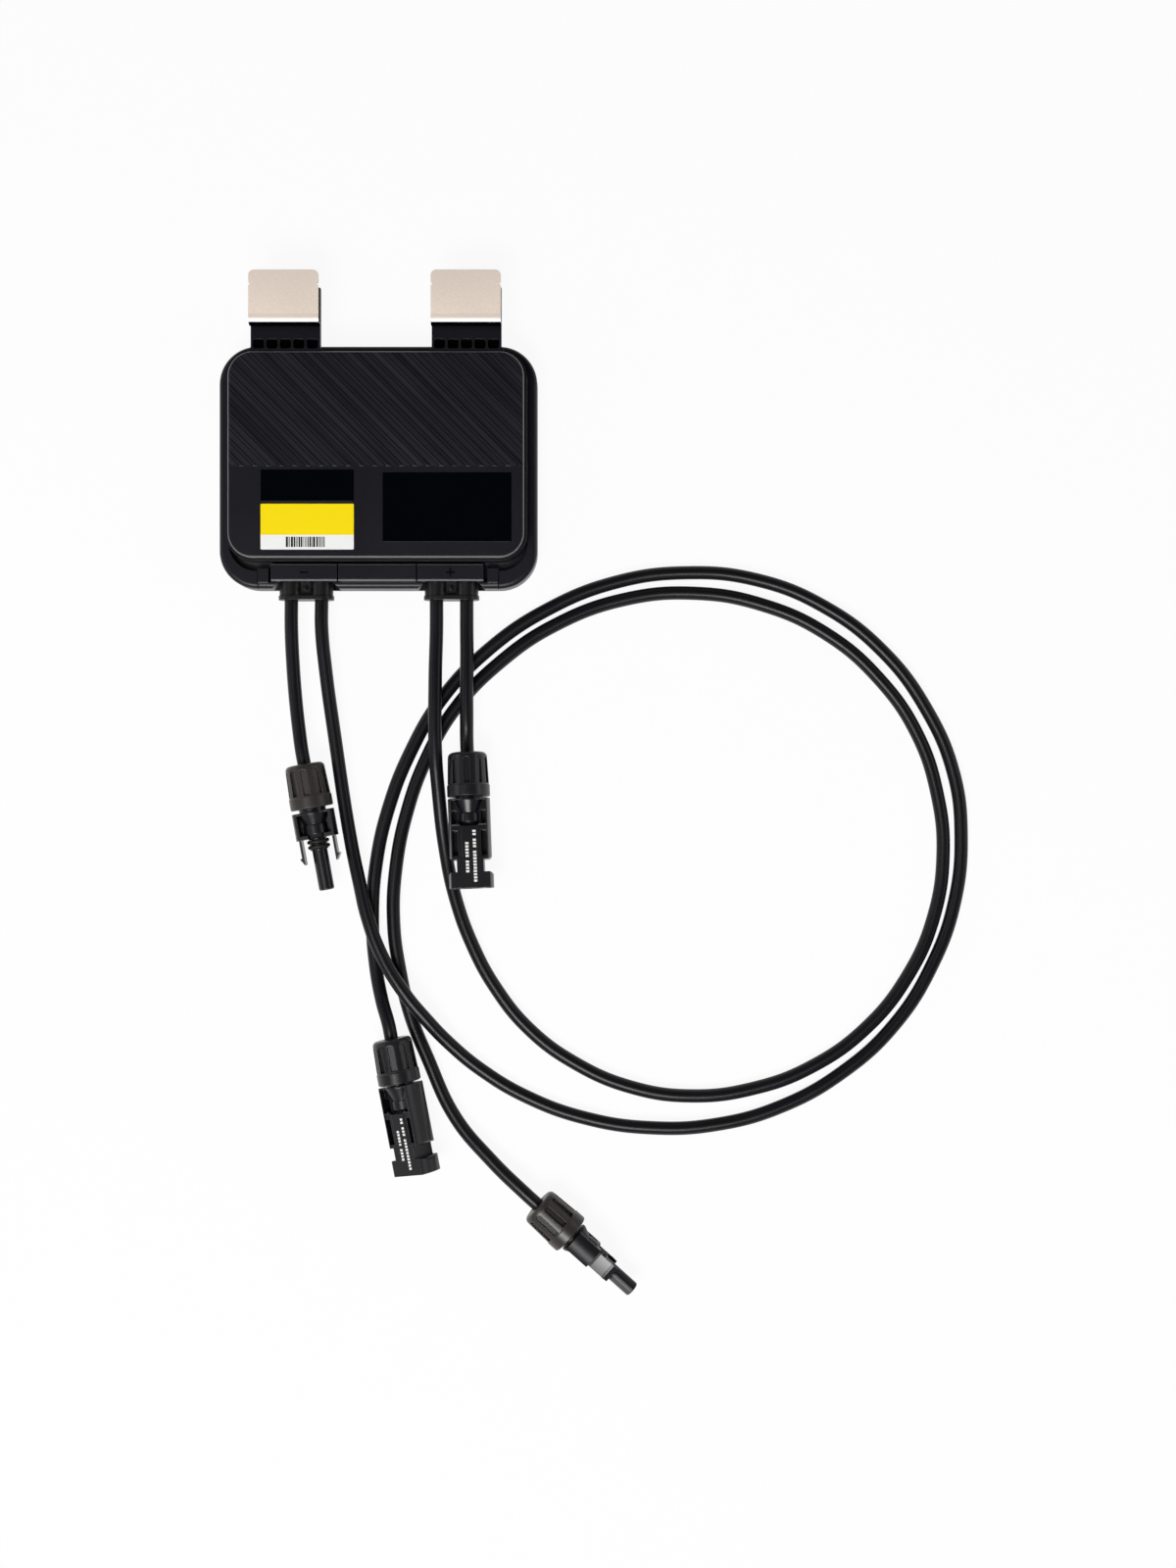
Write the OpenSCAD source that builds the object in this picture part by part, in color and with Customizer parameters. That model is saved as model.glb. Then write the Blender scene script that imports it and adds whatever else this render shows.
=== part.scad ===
// Power optimizer for a solar module: a flat moulded box with two folded steel frame
// clips and four leads that end in cable couplers. It lies on its back.
// X runs along the cable edge, Y from the cable edge to the clips, Z out of the cover's face.

/* [Base housing] */
// Width of the base, side to side
base_w = 138.4; // [130:0.1:160]
// Length of the base, cable edge to clip edge
base_l = 105.5; // [98:0.1:130]
// Height of the base up to its rim
base_h = 13; // [12:0.1:16]
// Corner radius of the base seen from the front
base_r = 16.5; // [14:0.1:22]
// Rounding of the rim's outer edge
rim_round = 2; // [0.6:0.1:2.2]
// Bevel along the edge of the back
back_bevel = 0.8; // [0.3:0.1:1.5]
// Width of the rim beside the cover
rim_w = 4.2; // [3.8:0.05:7]
// Width of the ledge that carries the gasket
ledge_w = 2.4; // [1.8:0.1:3.5]
// Thickness of the floor
floor_t = 2.4; // [1.6:0.1:3]

/* [Front cover] */
// Height of the cover's face above the back
cover_top = 22.9; // [21:0.1:28]
// Corner radius of the cover
cover_r = 12; // [9:0.1:14]
// Thickness of the cover's side walls
cover_wall = 2.2; // [1.4:0.1:3]
// Thickness of the cover's face
cover_face_t = 2.4; // [1.4:0.1:3]
// Rounding of the face's edge
cover_round = 0.8; // [0.6:0.1:1.8]
// Width of the step below the face's rounded edge
cover_step = 1.2; // [0.2:0.1:1.6]
// Depth that the cover's edge drops below the rim
cover_seat = 0.8; // [0.4:0.1:1.5]
// Distance from the cover to the clip edge of the base
cover_back = 3.15; // [2.5:0.05:6]
// Gap between the cover and the base around it
cover_fit = 0.25; // [0.1:0.05:0.5]
// Thickness of the gasket under the cover
gasket_t = 1; // [0.6:0.1:1.6]

/* [Cover ribs] */
// Length of the ribbed field, from the clip side of the face
rib_l = 48; // [20:0.5:70]
// Margin between the ribbed field and the edge of the flat face
rib_margin = 0.6; // [0.2:0.1:4]
// Slant of the ribs from the cable edge
rib_angle = 45; // [30:1:60]
// Distance between ribs along the cable edge
rib_pitch = 5.73; // [3.4:0.01:10]
// Width of a rib along the cable edge
rib_w = 2.1; // [1:0.1:3]
// Height of the ribs above the face
rib_rise = 0.35; // [0.1:0.05:0.8]

/* [Clip tongues] */
// Distance from the side of the base to the middle of a tongue and its clip
tongue_inset = 30.2; // [24:0.1:36]
// Width of each tongue
tongue_w = 30; // [29:0.1:36]
// Thickness of each tongue
tongue_t = 3.4; // [2.8:0.1:5]
// Drop from the cover's face to the top of the tongue
tongue_drop = 1.4; // [0.8:0.1:2.5]
// Reach of the tongue beyond the clip edge of the base
tongue_reach = 23.2; // [18:0.1:26]
// Number of pockets in the root of each tongue
pocket_count = 5; // [3:1:5]
// Distance between the pockets
pocket_pitch = 5.8; // [5.4:0.1:6]
// Width of a pocket
pocket_w = 4.9; // [3:0.1:5]
// Length of a pocket along the tongue
pocket_l = 4; // [3:0.1:5]
// Depth of a pocket
pocket_depth = 2.2; // [1:0.1:2.6]
// Gap from the cover's edge to the pockets
pocket_gap = 0.2; // [0.2:0.1:2]
// Radius of the fillets where a tongue meets the cover
tongue_fillet = 1.2; // [0.5:0.1:2]
// Height of the ribs under a tongue
tongue_rib_h = 3; // [1.5:0.1:4.5]
// Thickness of the ribs under a tongue
tongue_rib_t = 2; // [1.2:0.1:3]

/* [Frame clips] */
// Width of the steel strip
clip_w = 30; // [20:0.1:30]
// Thickness of the steel strip
clip_t = 0.95; // [0.7:0.05:1.3]
// Free height of the jaw that takes the module frame
jaw_gap = 4.4; // [4.1:0.1:6]
// Reach of the clip's tip beyond the clip edge of the base
clip_reach = 29.4; // [27:0.1:34]
// Distance from the clip edge of the base to the outside of the fold
fold_gap = 6.1; // [5:0.1:10]
// Length by which the rear leg is shorter than the front plate
leg_short = 7; // [6.5:0.1:12]
// Corner radius of the front plate
clip_corner_r = 2.5; // [1:0.1:4]
// Radius of the small notches in the plate's sides
clip_notch_r = 0.6; // [0.3:0.05:1]
// Distance of the notches from the tip
clip_notch_gap = 6; // [4:0.1:9]
// Diameter of the stakes that hold the rear leg on the tongue
stake_d = 3; // [2:0.1:4]
// Distance between the two stakes of a clip
stake_pitch = 16; // [12:0.1:20]
// Clearance round a stake
stake_fit = 0.1; // [0.05:0.05:0.2]

/* [Cable edge] */
// Distance from the side of the base to the middle of a gland
gland_inset = 37.5; // [35.2:0.1:38.2]
// Distance between the two leads of a gland
lead_pitch = 13.2; // [12.4:0.1:14]
// Height of the leads where they leave the glands
lead_z = 8.9; // [8.4:0.1:9.2]
// Diameter of a lead
lead_d = 6; // [5:0.1:6.4]
// Diameter of a gland barrel
barrel_d = 10.2; // [9:0.1:11]
// Height of the end lip across the barrels
lip_d = 11; // [10.6:0.1:11.6]
// Thickness of the end lip
lip_t = 1.8; // [1:0.1:2.4]
// Reach of the glands beyond the cable edge of the base
gland_reach = 4.8; // [4:0.1:8]
// Thickness of the flange that keys a gland into the base
gland_key_t = 3; // [2:0.1:4]
// Distance by which the key flange stands out round the barrels
gland_key_out = 0.6; // [0.3:0.1:0.8]
// Diameter of the post between the barrels
post_d = 1.4; // [0.8:0.1:2]
// Clearance round the glands and the clamp blocks
strip_fit = 0.1; // [0.05:0.05:0.2]
// Width of a clamp block
clamp_w = 28.6; // [28:0.1:29.4]
// Length of a clamp block, front to back
clamp_l = 7.4; // [6.8:0.1:9]
// Height of the clamp blocks above the back
clamp_top = 17; // [16:0.1:20]
// Rounding of the upper edges of the clamp blocks
clamp_round = 0.8; // [0.2:0.1:1.2]
// Thickness of the wall between the clamp blocks and the cover
partition_t = 0.5; // [0.4:0.05:2]
// Thickness of the base's front wall
front_wall = 2.9; // [1.6:0.1:3.6]
// Gap between the clamp blocks and their neighbours
clamp_gap = 0.3; // [0.2:0.05:0.5]
// Width of the latch posts beside the clamp blocks
latch_w = 4.6; // [3:0.1:6]
// Gap round a latch post, to its clamp block and to the cover
latch_gap = 1.6; // [1.2:0.1:3]
// Height of the latch posts above the rim
latch_rise = 0.6; // [0.2:0.1:2]
// Width of the open corners in front of the cover
trough_l = 3.2; // [1.5:0.1:4]
// Depth of the open corners and of the slots beside the latch posts
trough_depth = 4; // [2:0.1:8.5]

/* [Electronics] */
// Gap between the circuit board and the walls round it
board_gap = 2.6; // [1.5:0.1:4]
// Thickness of the circuit board
board_t = 1.6; // [1:0.1:2]
// Thickness of the heat spreader
spreader_t = 1.5; // [1:0.1:2]
// Thickness of the thermal pad
pad_t = 1; // [0.5:0.1:1.5]
// Distance from the board's edge to a screw's middle
screw_inset = 4; // [3.4:0.1:6]
// Diameter of a board screw
screw_d = 2.5; // [2:0.1:3]
// Diameter of a board post
post_out_d = 6; // [5:0.1:6.6]
// Width of the inductor core
core_w = 30; // [28:0.1:32]
// Length of the inductor core
core_l = 24; // [22:0.1:26]
// Height of the inductor core
core_h = 10; // [9:0.1:11]
// Thickness of the core's top, bottom and outer legs
core_wall = 2.4; // [2:0.1:3]
// Diameter of the core's middle leg
core_leg_d = 9; // [8:0.1:10]
// Clearance round the winding
winding_fit = 0.3; // [0.2:0.05:0.5]
// Diameter of a capacitor can
can_d = 10; // [8:0.1:11]
// Height of a capacitor can
can_h = 11; // [8:0.1:11.4]
// Distance between capacitor cans
can_pitch = 12; // [11.4:0.1:13]
// Width of a power transistor
transistor_w = 6; // [5:0.1:7]
// Width of the controller chip
chip_w = 9; // [7:0.1:12]
// Width of the radio module
radio_w = 18; // [15:0.1:20]
// Diameter of a terminal barrel
terminal_d = 3.8; // [3:0.1:4]
// Thickness of the terminal strip
terminal_t = 0.8; // [0.5:0.1:1.2]

/* [Cable couplers] */
// Length of the nut
nut_l = 19.4; // [18:0.1:22]
// Diameter of the nut's collar
nut_d = 18.7; // [18:0.1:18.7]
// Diameter of the nut at its cable end
nut_end_d = 17.2; // [16.4:0.1:17.2]
// Length of the nut's plain collar
nut_collar_l = 5.3; // [4:0.1:7]
// Rounding of the nut's cable end
nut_round = 2; // [1:0.1:2.2]
// Number of flutes round the nut
flute_count = 10; // [6:1:12]
// Width of a flute
flute_w = 2.8; // [1.6:0.1:3]
// Diameter across the bottoms of the flutes
flute_floor_d = 15.7; // [15.4:0.1:16.4]
// Diameter of the cable seal where it shows in the nut
seal_d = 7.4; // [7:0.1:8.4]
// Clearance between the pieces inside a coupler
coupler_fit = 0.1; // [0.05:0.05:0.15]
// Diameter of the thread that the nut turns on
thread_d = 13.8; // [13:0.1:14.2]
// Gap between the nut and the shoulder of the housing
neck_gap = 1.5; // [0.8:0.1:2]
// Diameter of the hump behind the plug end
hump_d = 10.6; // [10:0.1:11]
// Diameter of the contact's crimp barrel
crimp_d = 5; // [4.4:0.1:5.4]
// Diameter of the contact pin
pin_d = 4; // [3.6:0.1:4]

/* [Tube couplers] */
// Diameter of the plug tube
tube_d = 6.7; // [6.4:0.1:6.8]
// Length of the plug tube
tube_l = 17.8; // [15:0.1:18]
// Width across the latch frames
frame_w = 18.6; // [18:0.1:18.6]
// Length of the latch frames
frame_l = 11.8; // [10:0.1:13]
// Height of the latch frames
frame_h = 9.4; // [8:0.1:10]
// Thickness of the latch frames' outer plates
frame_t = 2.4; // [1.2:0.1:2.8]
// Length of the snap arms beyond the frames
arm_l = 10.8; // [9:0.1:12]
// Width of a snap arm
arm_w = 7.2; // [5:0.1:7.6]
// Thickness of a snap arm
arm_t = 1; // [0.8:0.1:1.2]
// Distance from the axis to the middle of a snap arm
arm_r = 7.3; // [7:0.1:7.5]
// Distance by which a barb stands out
barb_out = 0.9; // [0.5:0.1:1]
// Diameter of the sealing ring's cord
ring_cord = 1.8; // [1.5:0.1:1.9]
// Outside diameter of the sealing rings
ring_d = 9.9; // [9.6:0.1:10]

/* [Window couplers] */
// Width of the window body
body_w = 18.4; // [17.6:0.1:18.4]
// Height of the window body
body_h = 11.6; // [11.2:0.1:12]
// Gap between the nut and the window body
window_gap = 0.9; // [0.6:0.1:1.4]
// Length of the window body's upper part
body_l = 26.6; // [25:0.1:28]
// Radius of the body's and the flange's corners beside the waist
body_corner_r = 1.8; // [0.8:0.1:2.4]
// Depth of the recess round the cone and the hump
recess_depth = 2.6; // [1:0.1:3]
// Width of the raised spine
spine_w = 7; // [5:0.1:8]
// Height of the spine over the face beside it
spine_h = 0.4; // [0.2:0.1:0.6]
// Thickness of the body's side walls
body_wall = 1.7; // [1.4:0.1:1.9]
// Width of the waist
waist_w = 11.6; // [11.4:0.1:12]
// Length of the waist
waist_l = 5.4; // [4.6:0.1:6]
// Width of the mouth flange
flange_w = 19.4; // [19:0.1:19.4]
// Length of the mouth flange
flange_l = 7; // [6:0.1:8]
// Length of the small windows beside the hump
small_window_l = 6; // [4:0.1:6.4]
// Length of the large windows
large_window_l = 11; // [9:0.1:11.4]
// Diameter of the mouth that takes the sealing rings
mouth_d = 10.2; // [10.1:0.1:10.4]
// Depth of the mouth
mouth_l = 6.5; // [5:0.1:7]
// Diameter of the bore that takes the plug tube
socket_d = 7.2; // [7.1:0.1:7.4]
// Depth of the bore from the mouth's face
socket_l = 18.5; // [18.2:0.1:20]

/* [Hidden] */

$fn = 64;
over = 1;
plastic = [0.11, 0.11, 0.125];
nut_plastic = [0.17, 0.16, 0.155];
rubber = [0.07, 0.07, 0.075];
steel = [0.85, 0.81, 0.76];

// Edges of the base and the cover. The origin is under the middle of the box with its clips
// and glands.
y_cable = -(gland_reach + base_l + clip_reach) / 2 + gland_reach;
y_clip = y_cable + base_l;
strip_l = cover_fit + partition_t + strip_fit + clamp_l + front_wall;
cover_w = base_w - 2 * rim_w;
cover_l = base_l - strip_l - cover_back;
cover_y = y_cable + strip_l + cover_l / 2;
cover_y1 = cover_y + cover_l / 2;
cover_z = base_h - cover_seat;
ledge_z = cover_z - gasket_t;
gland_x = base_w / 2 - gland_inset;
tongue_x = base_w / 2 - tongue_inset;
clamp_half = gland_x + clamp_w / 2 + clamp_gap;
latch_x = gland_x + clamp_w / 2 + latch_gap;
partition_y = cover_y - cover_l / 2 - cover_fit;
clamp_y = partition_y - partition_t - strip_fit - clamp_l / 2;

// Levels of the electronics
board_z = floor_t + spreader_t + pad_t;
board_top = board_z + board_t;
bay_y = cover_y;
board_w = cover_w - 2 * ledge_w - 2 * board_gap;
board_l = cover_l - 2 * ledge_w - 2 * board_gap;
core_at = [-0.135 * board_w, bay_y + 0.15 * board_l, board_top];

// Levels of the clips
tongue_top = cover_top - tongue_drop;
fold_r = clip_t + jaw_gap / 2;
fold_y = y_clip + fold_gap + fold_r;
clip_tip = y_clip + clip_reach;
leg_end = clip_tip - leg_short;
stake_y = (fold_y + leg_end) / 2;

// Places along a coupler's axis, from the cable end of its nut
shoulder_x = nut_l + neck_gap;
cone_l = 4.6;
hump_x = shoulder_x + 1 + cone_l;
hump_l = 4.2;
frame_x1 = shoulder_x + frame_l;
ring_seat_d = ring_d - 2 * ring_cord - 2 * coupler_fit;
ring_rib = 0.5;
tube_x = frame_x1 + 2 * ring_cord + 3 * ring_rib;
tube_tip = tube_x + tube_l;
body_x0 = nut_l + window_gap;
body_x1 = body_x0 + body_l;
flange_x = body_x1 + waist_l;
mouth_x = flange_x + flange_l;
crimp_x = 9;
crimp_l = 14;
seal_l = crimp_x - 1;

// Each coupler: middle of the nut's cable end, heading, rise and roll
minus_input_at = [[-32.6, -141.5, 9.45], -79.7, 0, 0];
plus_input_at = [[38.5, -136.4, 8.7], -87.7, 4.7, 0];
minus_output_at = [[5.4, -261.4, 9.05], -78.7, 2.4, 38];
plus_output_at = [[69.3, -333.8, 9.45], -41.9, 0, 90];

// Routes of the leads, from the gland to the nut
straight = 12;
end_gap = 0.02;
lead_sides = 12;
minus_input_route = [[-37.8, -95, 8.6], [-36.6, -112, 8.4], [-34.9, -127, 9]];
minus_output_route = [[-23.5, -100, 8], [-20, -127, 6.6], [-12.4, -176, 6.8], [-8.6, -193.5, 8.3],
    [-5, -208.5, 9.4], [1.2, -225, 9.65], [11.5, -242, 9.6], [20, -252.5, 8.2],
    [30.5, -264, 5.2], [44, -275.5, 3.4], [64, -287.5, 3.1], [90, -297, 3.1], [119, -301.3, 3.1],
    [148, -299.8, 3.1], [176, -292, 3.1], [203, -277, 3.1], [226, -256, 3.1], [243, -229, 3.1],
    [252.5, -202, 3.1], [255.4, -172.5, 3.1], [252, -145, 3.1], [240, -117, 3.1], [221, -91.8, 3.1],
    [195, -72, 3.1], [165.5, -60.3, 3.1], [134, -57.2, 3.1], [103, -61.5, 3.1], [73, -73.6, 3.1],
    [48, -90.6, 3.1], [27, -112.6, 3.1], [13, -136.5, 3.1], [3.8, -160, 3.1], [-1.7, -184, 3.1],
    [-3.5, -209, 3.1], [-2, -230, 3.8], [1, -245, 6.2]];
plus_output_route = [[24.6, -104, 9.6], [24.7, -137, 9.5], [25.6, -151, 7.6],
    [28.4, -178, 3.6], [32.8, -199.5, 3.1], [40.5, -221, 3.1], [50.5, -239.5, 3.1],
    [65, -257.5, 3.1], [85, -272.5, 3.1], [110.5, -283.5, 3.1], [137, -287.3, 3.1],
    [164, -284, 3.1], [189.5, -274.5, 3.1], [214, -257, 3.1], [232.2, -234, 3.1],
    [243.2, -209, 3.1], [247.5, -181, 3.1], [245, -155, 3.1], [236, -128, 3.1], [219, -103.5, 3.1],
    [196, -84, 3.1], [168, -71.3, 3.1], [138, -66.2, 3.1], [107, -69, 3.1], [76.8, -80.2, 3.1],
    [52.6, -96.6, 3.1], [32.7, -117.2, 3.1], [20.2, -139, 3.1], [11.8, -162, 3.1],
    [6.8, -187, 3.1], [5.8, -211, 3.1], [8.5, -232, 3.1], [13.3, -252, 3.1], [20.5, -270, 3.2],
    [33, -296.5, 4.2], [49, -315, 7]];
plus_input_route = [[38.4, -94, 9.4], [38.3, -110, 9.8], [38.3, -122, 9.3]];

function unit(v) = v / norm(v);
function axis_of(at) =
    [cos(at[2]) * cos(at[1]), cos(at[2]) * sin(at[1]), sin(at[2])];
function lead_x(gland_side, lead_side) = gland_side * gland_x + lead_side * lead_pitch / 2;
function gland_face(x) = [x, y_cable - gland_reach, lead_z];
function whole_route(x, route, at) = concat(
    [gland_face(x), gland_face(x) - [0, straight, 0]],
    route,
    [at[0] - straight / 2 * axis_of(at), at[0] - end_gap * axis_of(at)]);

// A 2-D outline swept round a rectangle with round corners. The outline's x is measured
// outwards from the corner's centre.
module swept_frame(w, l, r) {
    for (sx = [0, 1], sy = [0, 1])
        mirror([sx, 0, 0]) mirror([0, sy, 0]) translate([w / 2 - r, l / 2 - r, 0])
            rotate_extrude(angle = 90) children();
    for (s = [0, 1]) {
        mirror([s, 0, 0]) translate([w / 2 - r, l / 2 - r, 0]) rotate([90, 0, 0])
            linear_extrude(l - 2 * r) children();
        mirror([0, s, 0]) translate([-w / 2 + r, l / 2 - r, 0]) rotate([90, 0, 90])
            linear_extrude(w - 2 * r) children();
    }
}

// A slab with round corners whose edge follows a 2-D outline
module swept_slab(w, l, r, z0, z1) {
    swept_frame(w, l, r) children();
    translate([-w / 2 + r, -l / 2 + r, z0]) cube([w - 2 * r, l - 2 * r, z1 - z0]);
}

module plain_slab(w, l, r, z0, z1)
    swept_slab(w, l, r, z0, z1) translate([0, z0]) square([r, z1 - z0]);

// Quarter round at the upper outer corner of an edge outline
module rounded_edge(r, z0, z1, round_r) {
    translate([0, z0]) square([r, z1 - round_r - z0]);
    translate([0, z1 - round_r]) square([r - round_r, round_r]);
    translate([r - round_r, z1 - round_r]) intersection() {
        circle(round_r);
        square(round_r);
    }
}

// Block with its two upper edges along X rounded
module rounded_block(w, l, z0, z1, round_r) {
    translate([-w / 2, 0, 0]) rotate([90, 0, 90]) linear_extrude(w)
        for (s = [0, 1]) mirror([s, 0]) rounded_edge(l / 2, z0, z1, round_r);
}

module about_x() rotate([0, 90, 0]) rotate_extrude() children();

module along_y(y0, y1, d) translate([0, y1, 0]) rotate([90, 0, 0]) cylinder(d = d, h = y1 - y0);

// The outline of the base, from the back's bevel to the rim's rounding
module base_outline() {
    polygon([[0, 0], [base_r - back_bevel, 0], [base_r, back_bevel], [0, back_bevel]]);
    rounded_edge(base_r, back_bevel, base_h, rim_round);
}

// An open corner of the base: a crescent in front of the cover, behind the rim
module corner_trough() {
    fit = cover_fit;
    intersection() {
        difference() {
            translate([0, cover_y - trough_l / 2 - fit, 0])
                plain_slab(cover_w, cover_l + trough_l, cover_r, base_h - trough_depth, base_h + over);
            translate([0, cover_y, 0])
                plain_slab(cover_w + 2 * fit, cover_l + 2 * fit, cover_r + fit, 0, base_h + 2 * over);
        }
        translate([clamp_half, y_cable, 0]) cube([base_w, base_l / 2, base_h + 2 * over]);
    }
}

// The slots on both sides of a latch post
module latch_slots() {
    z0 = base_h - trough_depth;
    y1 = partition_y - partition_t;
    y_in = clamp_y - clamp_l / 2;
    translate([gland_x + clamp_w / 2, y_in, z0]) cube([latch_gap, y1 - y_in, trough_depth + over]);
    translate([latch_x + latch_w, y_cable - over, z0])
        cube([clamp_gap, y1 - y_cable + over, trough_depth + over]);
}

// The pocket for a gland and its clamp block, open at the front between sloped ends
module clamp_pocket() {
    half = clamp_w / 2 + clamp_gap;
    mouth = lead_pitch / 2 + barrel_d / 2 + strip_fit;
    depth = front_wall - strip_fit;
    flare = (half - mouth) / depth * over;
    z0 = lead_z - max(lip_d / 2, barrel_d / 2 + gland_key_out) - strip_fit;
    y0 = y_cable - over;
    y_in = y_cable + depth;
    y1 = partition_y - partition_t;
    translate([0, 0, z0]) linear_extrude(clamp_top)
        polygon([[-half - flare, y0], [half + flare, y0], [mouth, y_in], [half, y_in],
            [half, y1], [-half, y1], [-half, y_in], [-mouth, y_in]]);
}

module at_glands() for (s = [-1, 1]) translate([s * gland_x, 0, 0]) children();

module at_leads() for (s = [-1, 1]) translate([s * lead_pitch / 2, 0, lead_z]) children();

module base_housing() color(plastic) {
    bar_w = 2 * (gland_x - clamp_w / 2 - 2 * clamp_gap);
    latch_y0 = y_cable + rim_round;
    latch_y1 = partition_y - latch_gap;
    difference() {
        union() {
            translate([0, y_cable + base_l / 2, 0])
                swept_slab(base_w, base_l, base_r, 0, base_h) base_outline();
            translate([0, clamp_y, 0])
                rounded_block(bar_w, clamp_l, floor_t, clamp_top, clamp_round);
        }
        translate([0, cover_y, 0])
            plain_slab(cover_w + 2 * cover_fit, cover_l + 2 * cover_fit, cover_r + cover_fit,
                ledge_z, base_h + over);
        translate([0, cover_y, 0])
            plain_slab(cover_w - 2 * ledge_w, cover_l - 2 * ledge_w, cover_r - ledge_w,
                floor_t, ledge_z + over);
        at_glands() clamp_pocket();
        for (s = [0, 1]) mirror([s, 0, 0]) {
            corner_trough();
            latch_slots();
        }
        at_glands() at_leads()
            along_y(partition_y - partition_t - over, partition_y + ledge_w + cover_fit + over,
                terminal_d + 2 * strip_fit);
    }
    for (s = [-1, 1])
        translate([s * (latch_x + latch_w / 2), (latch_y0 + latch_y1) / 2, 0])
            rounded_block(latch_w, latch_y1 - latch_y0, base_h - trough_depth - over,
                base_h + latch_rise, clamp_round);
    for (sx = [-1, 1], sy = [-1, 1])
        translate([sx * (board_w / 2 - screw_inset), bay_y + sy * (board_l / 2 - screw_inset), 0])
            board_post();
}

module board_post() difference() {
    translate([0, 0, floor_t]) cylinder(d = post_out_d, h = board_z - floor_t);
    translate([0, 0, floor_t]) cylinder(d = screw_d, h = board_z);
}

// The cover's edge: a wall, a narrow step and a rounded face
module cover_outline() {
    step_z = cover_top - cover_round - cover_step;
    translate([0, cover_z]) square([cover_r, step_z - cover_z]);
    rounded_edge(cover_r - cover_step, step_z, cover_top, cover_round);
}

module tongue() {
    y0 = cover_y1 - cover_wall;
    y1 = y_clip + tongue_reach;
    z0 = tongue_top - tongue_t;
    difference() {
        union() {
            translate([-tongue_w / 2, y0, z0]) cube([tongue_w, y1 - y0, tongue_t]);
            for (s = [-1, 1])
                translate([s * (tongue_w / 2 - tongue_rib_t) - tongue_rib_t / 2,
                    y_clip + cover_fit, z0 - tongue_rib_h])
                    cube([tongue_rib_t, tongue_reach - cover_fit, tongue_rib_h]);
            for (s = [0, 1])
                mirror([s, 0, 0]) translate([tongue_w / 2, cover_y1, z0]) root_fillet();
            for (s = [-1, 1])
                translate([s * stake_pitch / 2, stake_y, tongue_top])
                    cylinder(d = stake_d, h = clip_t);
        }
        for (i = [0 : pocket_count - 1])
            translate([(i - (pocket_count - 1) / 2) * pocket_pitch,
                cover_y1 + pocket_gap + pocket_l / 2, tongue_top - pocket_depth])
                tongue_pocket();
    }
}

module root_fillet() linear_extrude(tongue_t) difference() {
    translate([-over, -over]) square(tongue_fillet + over);
    translate([tongue_fillet, tongue_fillet]) circle(tongue_fillet);
}

module tongue_pocket() linear_extrude(pocket_depth + over) intersection() {
    square([pocket_w, pocket_l], center = true);
    circle(d = (pocket_w + pocket_l) / 2 + 0.9);
}

// Outline of the ribbed field, with round corners on its clip side
module rib_field(w, l, r) {
    translate([-w / 2, 0]) square([w, l - r]);
    translate([-w / 2 + r, 0]) square([w - 2 * r, l]);
    for (s = [-1, 1]) translate([s * (w / 2 - r), l - r]) circle(r);
}

// Slanted ribs over the clip side of the cover's face
module cover_ribs() {
    inset = cover_step + cover_round;
    w = cover_w - 2 * (inset + rib_margin);
    lean = (rib_l + 2 * over) / tan(rib_angle);
    root = cover_face_t / 2;
    translate([0, cover_y1 - inset - rib_margin - rib_l, cover_top - root])
        linear_extrude(root + rib_rise) intersection() {
            rib_field(w, rib_l, cover_r - inset - rib_margin);
            for (x = [-w / 2 + rib_pitch : rib_pitch : w / 2 + lean])
                polygon([[x - rib_w / 2, -over], [x + rib_w / 2, -over],
                    [x + rib_w / 2 - lean, rib_l + over], [x - rib_w / 2 - lean, rib_l + over]]);
        }
}

module front_cover() color(plastic) {
    difference() {
        translate([0, cover_y, 0])
            swept_slab(cover_w, cover_l, cover_r, cover_z, cover_top) cover_outline();
        translate([0, cover_y, 0])
            plain_slab(cover_w - 2 * cover_wall, cover_l - 2 * cover_wall, cover_r - cover_wall,
                cover_z - over, cover_top - cover_face_t);
    }
    cover_ribs();
    for (s = [-1, 1]) translate([s * tongue_x, 0, 0]) tongue();
}

module cover_gasket() color(rubber) {
    inner = ledge_w;
    translate([0, cover_y, 0])
        swept_frame(cover_w, cover_l, cover_r)
            translate([cover_r - inner, ledge_z]) square([inner, gasket_t]);
}

// One strip folded to a hairpin: rear leg on the tongue, fold, front plate
module frame_clip() color(steel) {
    plate_z = tongue_top + clip_t + jaw_gap;
    difference() {
        union() {
            translate([-clip_w / 2, fold_y, tongue_top]) cube([clip_w, leg_end - fold_y, clip_t]);
            translate([clip_w / 2, fold_y, tongue_top + fold_r]) rotate([0, -90, 0])
                rotate([0, 0, 180]) rotate_extrude(angle = 180)
                    translate([fold_r - clip_t, 0]) square([clip_t, clip_w]);
            translate([0, 0, plate_z]) linear_extrude(clip_t) plate_outline();
        }
        for (s = [-1, 1]) {
            translate([s * stake_pitch / 2, stake_y, tongue_top - over])
                cylinder(d = stake_d + 2 * stake_fit, h = clip_t + over + jaw_gap / 2);
            translate([s * clip_w / 2, clip_tip - clip_notch_gap, plate_z - over / 2])
                cylinder(r = clip_notch_r, h = clip_t + over);
        }
    }
}

module plate_outline() {
    r = clip_corner_r;
    translate([-clip_w / 2, fold_y]) square([clip_w, clip_tip - r - fold_y]);
    translate([-clip_w / 2 + r, clip_tip - r]) square([clip_w - 2 * r, r]);
    for (s = [0, 1]) mirror([s, 0]) translate([clip_w / 2 - r, clip_tip - r]) intersection() {
        circle(r);
        square(r);
    }
}

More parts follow.
